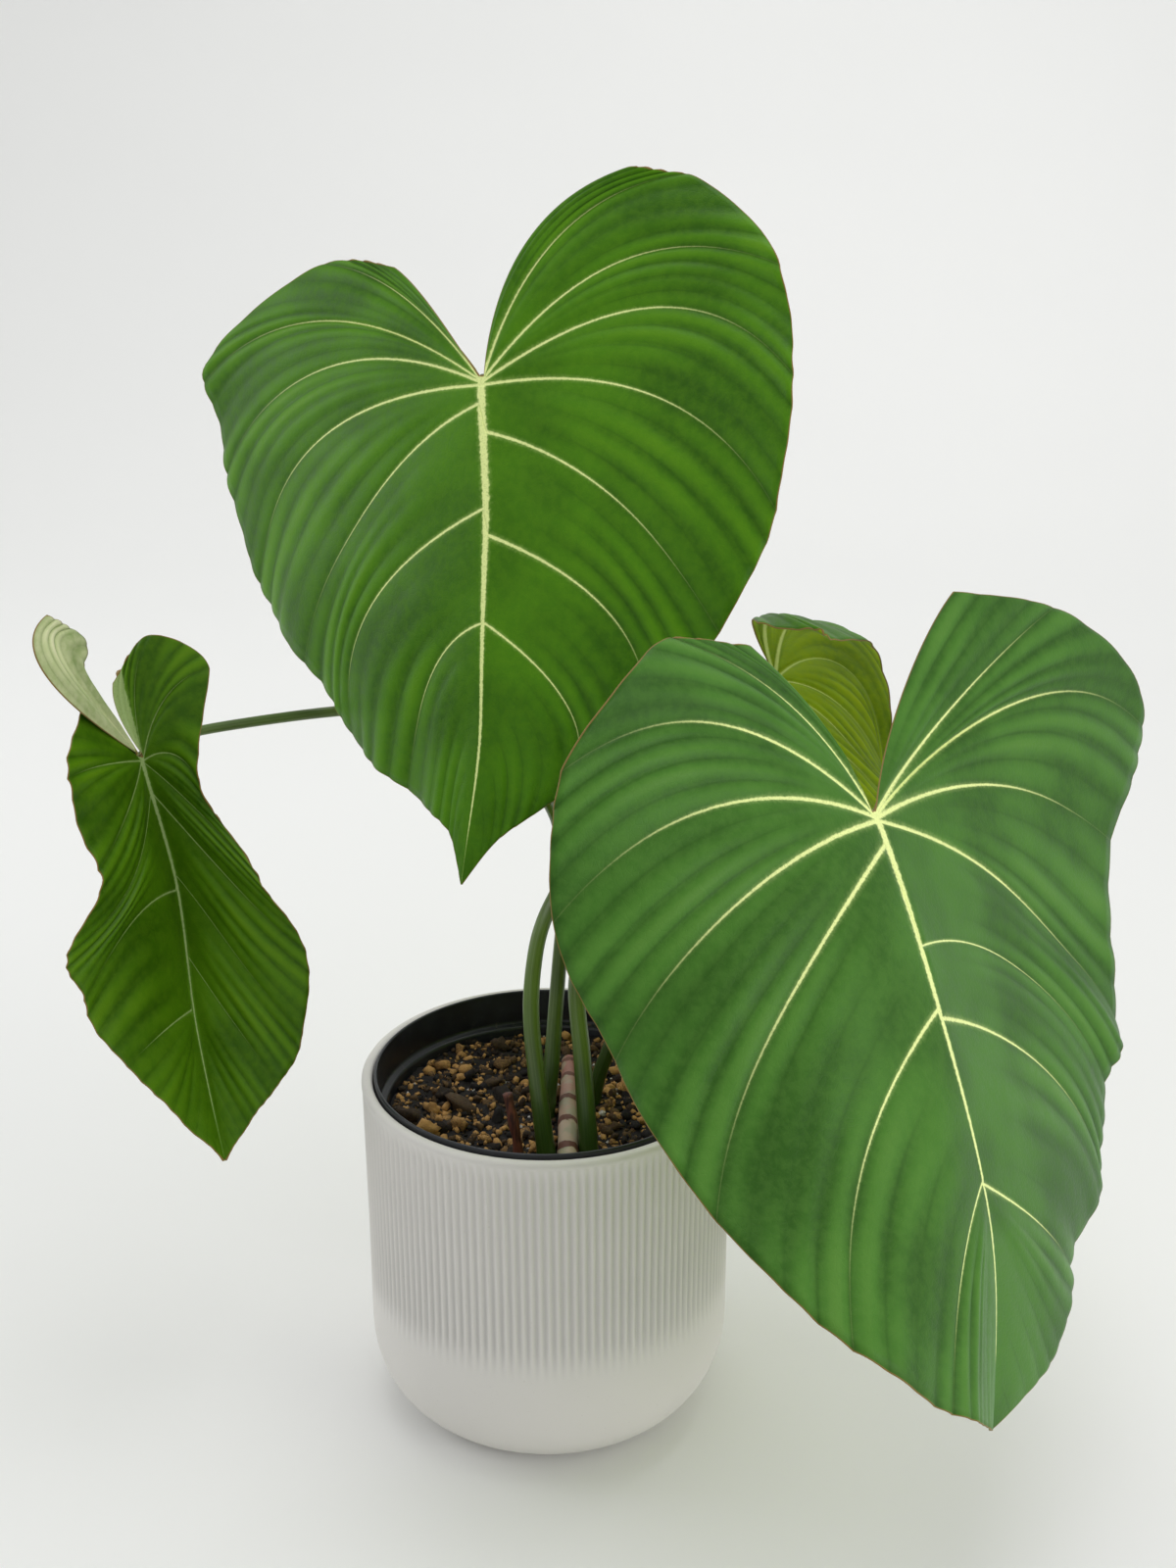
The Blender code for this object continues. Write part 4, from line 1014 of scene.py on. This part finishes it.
class AROID_OT_stalks(bpy.types.Operator):
    """Build the leaf stalks"""
    bl_idname = "aroid.build_stalks"
    bl_label = "Leaf stalks"

    def execute(self, context):
        settings = context.scene.aroid_stalk
        paint = stalk_material("green_leaf_stalk", settings.stalk_green, STALK_PALE)
        for name, (blade_name, base_radius, points) in STALKS.items():
            blade = BLADES[blade_name]
            end = np.array(blade["joint"]) - blade_axes(blade)[2] * STALK_UNDER_BLADE
            route = smooth_route(points + (tuple(end),), settings.rings)
            share = np.linspace(0.0, 1.0, settings.rings)
            radii = base_radius + (STALK_TIP_RADIUS - base_radius) * share
            swelling = 0.10 * np.exp(-(share / 0.12) ** 2)
            radii = radii * (1 + swelling - 0.35 * np.clip((share - 0.985) / 0.015, 0, 1))
            made = finish_piece(name + "_stalk", tube_shape(route, radii, settings.sides), (paint,),
                                (name,))
            mark_tube(made, route, radii)
        return {"FINISHED"}


class AROID_OT_creeping_stem(bpy.types.Operator):
    """Build the creeping stem and the dry old stalk"""
    bl_idname = "aroid.build_creeping_stem"
    bl_label = "Creeping stem"

    def execute(self, context):
        settings = context.scene.aroid_stalk
        rings = 160
        route = smooth_route(RHIZOME_ROUTE, rings)
        share = np.linspace(0.0, 1.0, rings)
        scars = np.array(RHIZOME_SCARS)
        ring = np.exp(-(np.abs(share[:, None] - scars[None]).min(axis=1) / SCAR_WIDTH) ** 2)
        # Each stretch between two scars has its own share of pink
        segment = np.array([math.sin(12.9 * number) ** 2 for number in range(len(scars) + 1)])
        radii = RHIZOME_RADIUS * (1 - STEM_TAPER * share + 0.05 * ring)
        first_end, last_end = (np.sqrt(np.clip(part * 22, 0.05, 1)) for part in (share, 1 - share))
        radii *= np.clip(first_end * last_end, 0.2, 1)
        made = finish_piece("rhizome_stem", tube_shape(route, radii, 32),
                            (rhizome_material(settings.stem_cream, settings.stem_brown),),
                            ("rhizome",))
        nearest = mark_tube(made, route, radii)
        set_values(made, "ring", ring[nearest])
        set_values(made, "segment", segment[np.searchsorted(scars, share[nearest])])
        route = smooth_route(OLD_STALK_ROUTE, 40)
        radii = OLD_STALK_RADIUS * (1 + 0.12 * np.sin(np.linspace(0, 19, 40)))
        shape = tube_shape(route, radii, 16)
        finish_piece("old_dry_stalk", shape, (dry_material("dry_old_stalk", DRY_RED, DRY_DARK),),
                     ("old_stalk",))
        return {"FINISHED"}


# Pots


class AROID_OT_cover_pot(bpy.types.Operator):
    """Build the ribbed cover pot"""
    bl_idname = "aroid.build_cover_pot"
    bl_label = "Cover pot"

    def execute(self, context):
        settings = context.scene.aroid_pot
        steps = settings.ribs * settings.steps_in_rib
        profile = list(COVER_POT_INSIDE)
        ribs_top = POT_HEIGHT - 0.0050
        for height in np.linspace(POT_HEIGHT - 0.0035, RIB_FADE_TOP, 16):
            profile.append((POT_RADIUS + 0.0005 * min(1, max(0, (height - 0.08) / 0.06)), float(height)))
        for height in np.linspace(RIB_FADE_TOP - 0.002, RIB_FADE_LOW, 9):
            profile.append((POT_RADIUS, float(height)))
        profile.append((POT_RADIUS, 0.042))
        for turn in np.linspace(0, 90, 14):
            angle = math.radians(turn)
            profile.append((FOOT_RADIUS + FOOT_ROUNDING * math.cos(angle), FOOT_RISE * (1 - math.sin(angle))))
        profile.append((0.0, 0.0))
        shape = turned_shape(profile, steps)
        for vert in shape.verts:
            radius = math.hypot(vert.co.x, vert.co.y)
            if radius > POT_RADIUS - 0.0001 and vert.co.z < RIBS_STOP:
                turn = math.atan2(vert.co.y, vert.co.x) * settings.ribs
                valley = 1 - abs(math.cos(turn / 2)) ** 2
                low = min(1, max(0, (vert.co.z - RIB_FADE_LOW) / (RIB_FADE_TOP - RIB_FADE_LOW)))
                high = min(1, max(0, (POT_HEIGHT - 0.0033 - vert.co.z) / 0.002))
                strength = low * low * (3 - 2 * low) * high if vert.co.z < ribs_top + 0.002 else 0.0
                scale = 1 - settings.rib_depth * valley * strength / radius
                vert.co.x *= scale
                vert.co.y *= scale
        made = finish_piece("cover_pot", shape, (ceramic_material(settings.ceramic_white),),
                            ("outer_pot",))
        places = vertex_places(made)
        sunk = POT_RADIUS - np.hypot(places[:, 0], places[:, 1])
        ribbed = (places[:, 2] > RIB_FADE_LOW) & (places[:, 2] < RIBS_STOP) & (sunk < 0.002)
        set_values(made, "valley", np.clip(sunk / max(settings.rib_depth, 0.0001), 0, 1) * ribbed)
        return {"FINISHED"}


class AROID_OT_growing_pot(bpy.types.Operator):
    """Build the black growing pot"""
    bl_idname = "aroid.build_growing_pot"
    bl_label = "Growing pot"

    def execute(self, context):
        settings = context.scene.aroid_pot
        shape = turned_shape(GROWING_POT_OUTLINE, 160)
        finish_piece("growing_pot", shape, (plastic_material(settings.plastic_black),),
                     ("nursery_pot",))
        return {"FINISHED"}


# Bark mix


def add_lumps(shape, dice, centre, size, stretch, finer, tones):
    """One irregular lump; its tone is kept for each of its vertices."""
    made = bmesh.ops.create_icosphere(shape, subdivisions=2 if finer else 1, radius=0.5)
    turn = Vector((dice.uniform(-1, 1), dice.uniform(-1, 1), dice.uniform(-1, 1))).normalized()
    spin = turn.rotation_difference(Vector((0, 0, 1)))
    offset = Vector((dice.uniform(0, 90), dice.uniform(0, 90), dice.uniform(0, 90)))
    tone = dice.random()
    for vert in made["verts"]:
        rough = 1 + 0.85 * noise.noise(vert.co * 2.6 + offset)
        place = Vector([part * pull for part, pull in zip(vert.co, stretch)]) * size * rough
        place.rotate(spin)
        vert.co = place + centre
        tones.append(tone)


def soil_height(x, y):
    """Height of the lumpy surface of the bark mix."""
    place = Vector((x, y, 0.0))
    return SOIL_TOP - 0.0008 + 0.0016 * noise.noise(place * 90) + 0.0012 * noise.noise(place * 260)


def scatter(name, count, size, stretch, spread, finer, material, seed, avoid):
    """Scatter lumps over the bark mix, clear of the stalks."""
    dice = random.Random(seed)
    shape = bmesh.new()
    tones = []
    made = 0
    while made < count:
        radius = math.sqrt(dice.random()) * (SOIL_RADIUS - 0.0012)
        angle = dice.uniform(0, 2 * math.pi)
        x = radius * math.cos(angle)
        y = radius * math.sin(angle)
        own = size * math.exp(dice.gauss(0, spread))
        if any(math.hypot(x - place[0], y - place[1]) < place[2] + own * 0.35 for place in avoid):
            continue
        if math.hypot(x, y) + own * 0.5 > SOIL_RADIUS:
            continue
        centre = Vector((x, y, soil_height(x, y) + own * dice.uniform(-0.12, 0.28)))
        add_lumps(shape, dice, centre, own, stretch, finer, tones)
        made += 1
    piece = finish_piece(name, shape, (material,))
    set_values(piece, "tone", tones)
    return piece


def stalk_feet():
    """Where stalks and the creeping stem come out of the bark mix: x, y and radius."""
    feet = []
    routes = [(radius, points) for blade_name, radius, points in STALKS.values()]
    for radius, points in routes + [(OLD_STALK_RADIUS, OLD_STALK_ROUTE)]:
        share = (SOIL_TOP - points[0][2]) / (points[1][2] - points[0][2])
        x, y = (points[0][axis] + (points[1][axis] - points[0][axis]) * share for axis in (0, 1))
        feet.append((x, y, radius))
    for x, y, height in smooth_route(RHIZOME_ROUTE, 14):
        feet.append((x, y, RHIZOME_RADIUS * 0.8))
    return feet


class AROID_OT_soil(bpy.types.Operator):
    """Build the bark mix"""
    bl_idname = "aroid.build_soil"
    bl_label = "Bark mix"

    def execute(self, context):
        settings = context.scene.aroid_soil
        profile = [(0.0, SOIL_TOP)]
        profile += [(float(radius), SOIL_TOP) for radius in np.linspace(0.0015, SOIL_RADIUS, 42)]
        profile += SOIL_SIDE
        shape = turned_shape(profile, 200)
        for vert in shape.verts:
            if vert.co.z > SOIL_TOP - 0.0001:
                vert.co.z = soil_height(vert.co.x, vert.co.y)
        bed = bark_material("dark_crumb_bed", settings.bark_dark, settings.bark_tan, 0.85)
        made = finish_piece("bark_mix_bed", shape, (bed,), ("soil",))
        set_values(made, "tone", np.full(len(made.data.vertices), BED_TONE))
        feet = stalk_feet()
        bark = bark_material("bark_chips", settings.bark_dark, settings.bark_tan, 0.66)
        crumb = bark_material("bark_crumbs", settings.bark_dark, settings.bark_tan, 0.52)
        scatter("bark_chips", settings.chips, settings.chip_size, (1.2, 0.85, 0.65), 0.35, True, bark,
                settings.seed, feet)
        scatter("bark_crumbs", settings.crumbs, settings.chip_size * 0.44, (1.15, 0.9, 0.75), 0.42, False,
                crumb, settings.seed + 1, feet)
        scatter("white_grains", settings.grains, settings.chip_size * 0.30, (1.0, 0.95, 0.85), 0.35, True,
                grain_material(), settings.seed + 2, feet)
        return {"FINISHED"}


# Stage


def add_light(name, place, target, size, power, colour):
    """Large square lamp that points at a target."""
    lamp = bpy.data.lights.new(name, "AREA")
    lamp.shape = "SQUARE"
    lamp.size = size
    lamp.energy = power
    lamp.color = colour
    made = bpy.data.objects.new(name, lamp)
    made.location = place
    made.rotation_euler = (Vector(target) - Vector(place)).to_track_quat("-Z", "Y").to_euler()
    bpy.context.scene.collection.objects.link(made)


class AROID_OT_stage(bpy.types.Operator):
    """Build the floor, the lights and the camera"""
    bl_idname = "aroid.build_stage"
    bl_label = "Stage"

    def execute(self, context):
        settings = context.scene.aroid_stage
        scene = context.scene
        shape = bmesh.new()
        bmesh.ops.create_grid(shape, x_segments=2, y_segments=COVE_STEPS, size=1.0)
        arc = math.pi / 2 * COVE_RADIUS
        length = settings.floor_size + arc + COVE_WALL
        for vert in shape.verts:
            gone = (vert.co.y + 1) / 2 * length - settings.floor_size
            turn = min(max(gone, 0.0), arc) / COVE_RADIUS
            vert.co.x *= settings.floor_size
            vert.co.y = COVE_START + min(gone, 0.0) + COVE_RADIUS * math.sin(turn)
            vert.co.z = COVE_RADIUS * (1 - math.cos(turn)) + max(gone - arc, 0.0)
        mesh = bpy.data.meshes.new("floor")
        shape.to_mesh(mesh)
        shape.free()
        for face in mesh.polygons:
            face.use_smooth = True
        floor = bpy.data.objects.new("floor", mesh)
        scene.collection.objects.link(floor)
        made, tree, shader = new_material("pale_floor")
        place = object_place(tree)
        tone = mixed(tree, cloud(tree, place, 3.0, 2.0), settings.floor_colour,
                     [channel * 0.97 for channel in settings.floor_colour])
        tree.links.new(tone, shader.inputs["Base Color"])
        shader.inputs["Roughness"].default_value = 0.7
        # Painted light: the floor and backdrop glow, more towards the back and the right, though they are no
        # lamp
        parts = add_node(tree, "ShaderNodeSeparateXYZ", {0: place}).outputs
        far = ranged(tree, parts[1], 0.0, COVE_START + COVE_RADIUS)
        right = ranged(tree, parts[0], -1.0, 1.0, 0.5, 1.1)
        glow = calc(tree, "MULTIPLY", far, right)
        tree.links.new(mixed(tree, glow, (0.0, 0.0, 0.0), COVE_GLOW), shader.inputs["Emission Color"])
        shader.inputs["Emission Strength"].default_value = 1.0
        mesh.materials.append(made)
        world = bpy.data.worlds.new("soft_room")
        world.use_nodes = True
        feed(world.node_tree, world.node_tree.nodes["Background"],
             {"Color": ROOM_COLOUR, "Strength": ROOM_STRENGTH})
        scene.world = world
        for name, place, size, share, colour in LAMPS:
            add_light(name, place, LIGHT_TARGET, size, settings.light_power * share, colour)
        scene.view_settings.view_transform = "Standard"
        view = bpy.data.cameras.new("photo_view")
        view.lens = CAMERA_LENS
        view.sensor_width = CAMERA_SENSOR
        camera = bpy.data.objects.new("photo_view", view)
        camera.location = CAMERA_PLACE
        camera.rotation_euler = (math.radians(CAMERA_TILT), 0.0, 0.0)
        scene.collection.objects.link(camera)
        scene.camera = camera
        return {"FINISHED"}


class AROID_PT_panel(bpy.types.Panel):
    """Sidebar panel with the builders and their settings"""
    bl_label = "Aroid"
    bl_idname = "AROID_PT_panel"
    bl_space_type = "VIEW_3D"
    bl_region_type = "UI"
    bl_category = "Aroid"

    def draw(self, context):
        for operator, settings in PANEL_ROWS:
            box = self.layout.box()
            box.operator(operator)
            if settings:
                group = getattr(context.scene, settings)
                for name in group.bl_rna.properties.keys():
                    if name not in {"rna_type", "name"}:
                        box.prop(group, name)


SETTINGS = {
    "aroid_leaf": AroidLeafSettings,
    "aroid_stalk": AroidStalkSettings,
    "aroid_pot": AroidPotSettings,
    "aroid_soil": AroidSoilSettings,
    "aroid_stage": AroidStageSettings,
}
PANEL_ROWS = (
    ("aroid.build_cover_pot", "aroid_pot"), ("aroid.build_growing_pot", None),
    ("aroid.build_soil", "aroid_soil"), ("aroid.build_creeping_stem", "aroid_stalk"),
    ("aroid.build_stalks", None), ("aroid.build_blades", "aroid_leaf"), ("aroid.build_stage", "aroid_stage"),
)
CLASSES = tuple(SETTINGS.values()) + (
    AROID_OT_cover_pot, AROID_OT_growing_pot, AROID_OT_soil, AROID_OT_creeping_stem, AROID_OT_stalks,
    AROID_OT_blades, AROID_OT_stage, AROID_PT_panel,
)


def register():
    """Register every class and its settings."""
    for item in CLASSES:
        bpy.utils.register_class(item)
    for name, item in SETTINGS.items():
        setattr(bpy.types.Scene, name, PointerProperty(type=item))


def unregister():
    """Take every class and its settings away again."""
    for name in SETTINGS:
        delattr(bpy.types.Scene, name)
    for item in reversed(CLASSES):
        bpy.utils.unregister_class(item)


def main():
    """Build the whole plant."""
    register()
    bpy.ops.aroid.build_cover_pot()
    bpy.ops.aroid.build_growing_pot()
    bpy.ops.aroid.build_soil()
    bpy.ops.aroid.build_creeping_stem()
    bpy.ops.aroid.build_stalks()
    bpy.ops.aroid.build_blades()
    bpy.ops.aroid.build_stage()


if __name__ == "__main__":
    main()
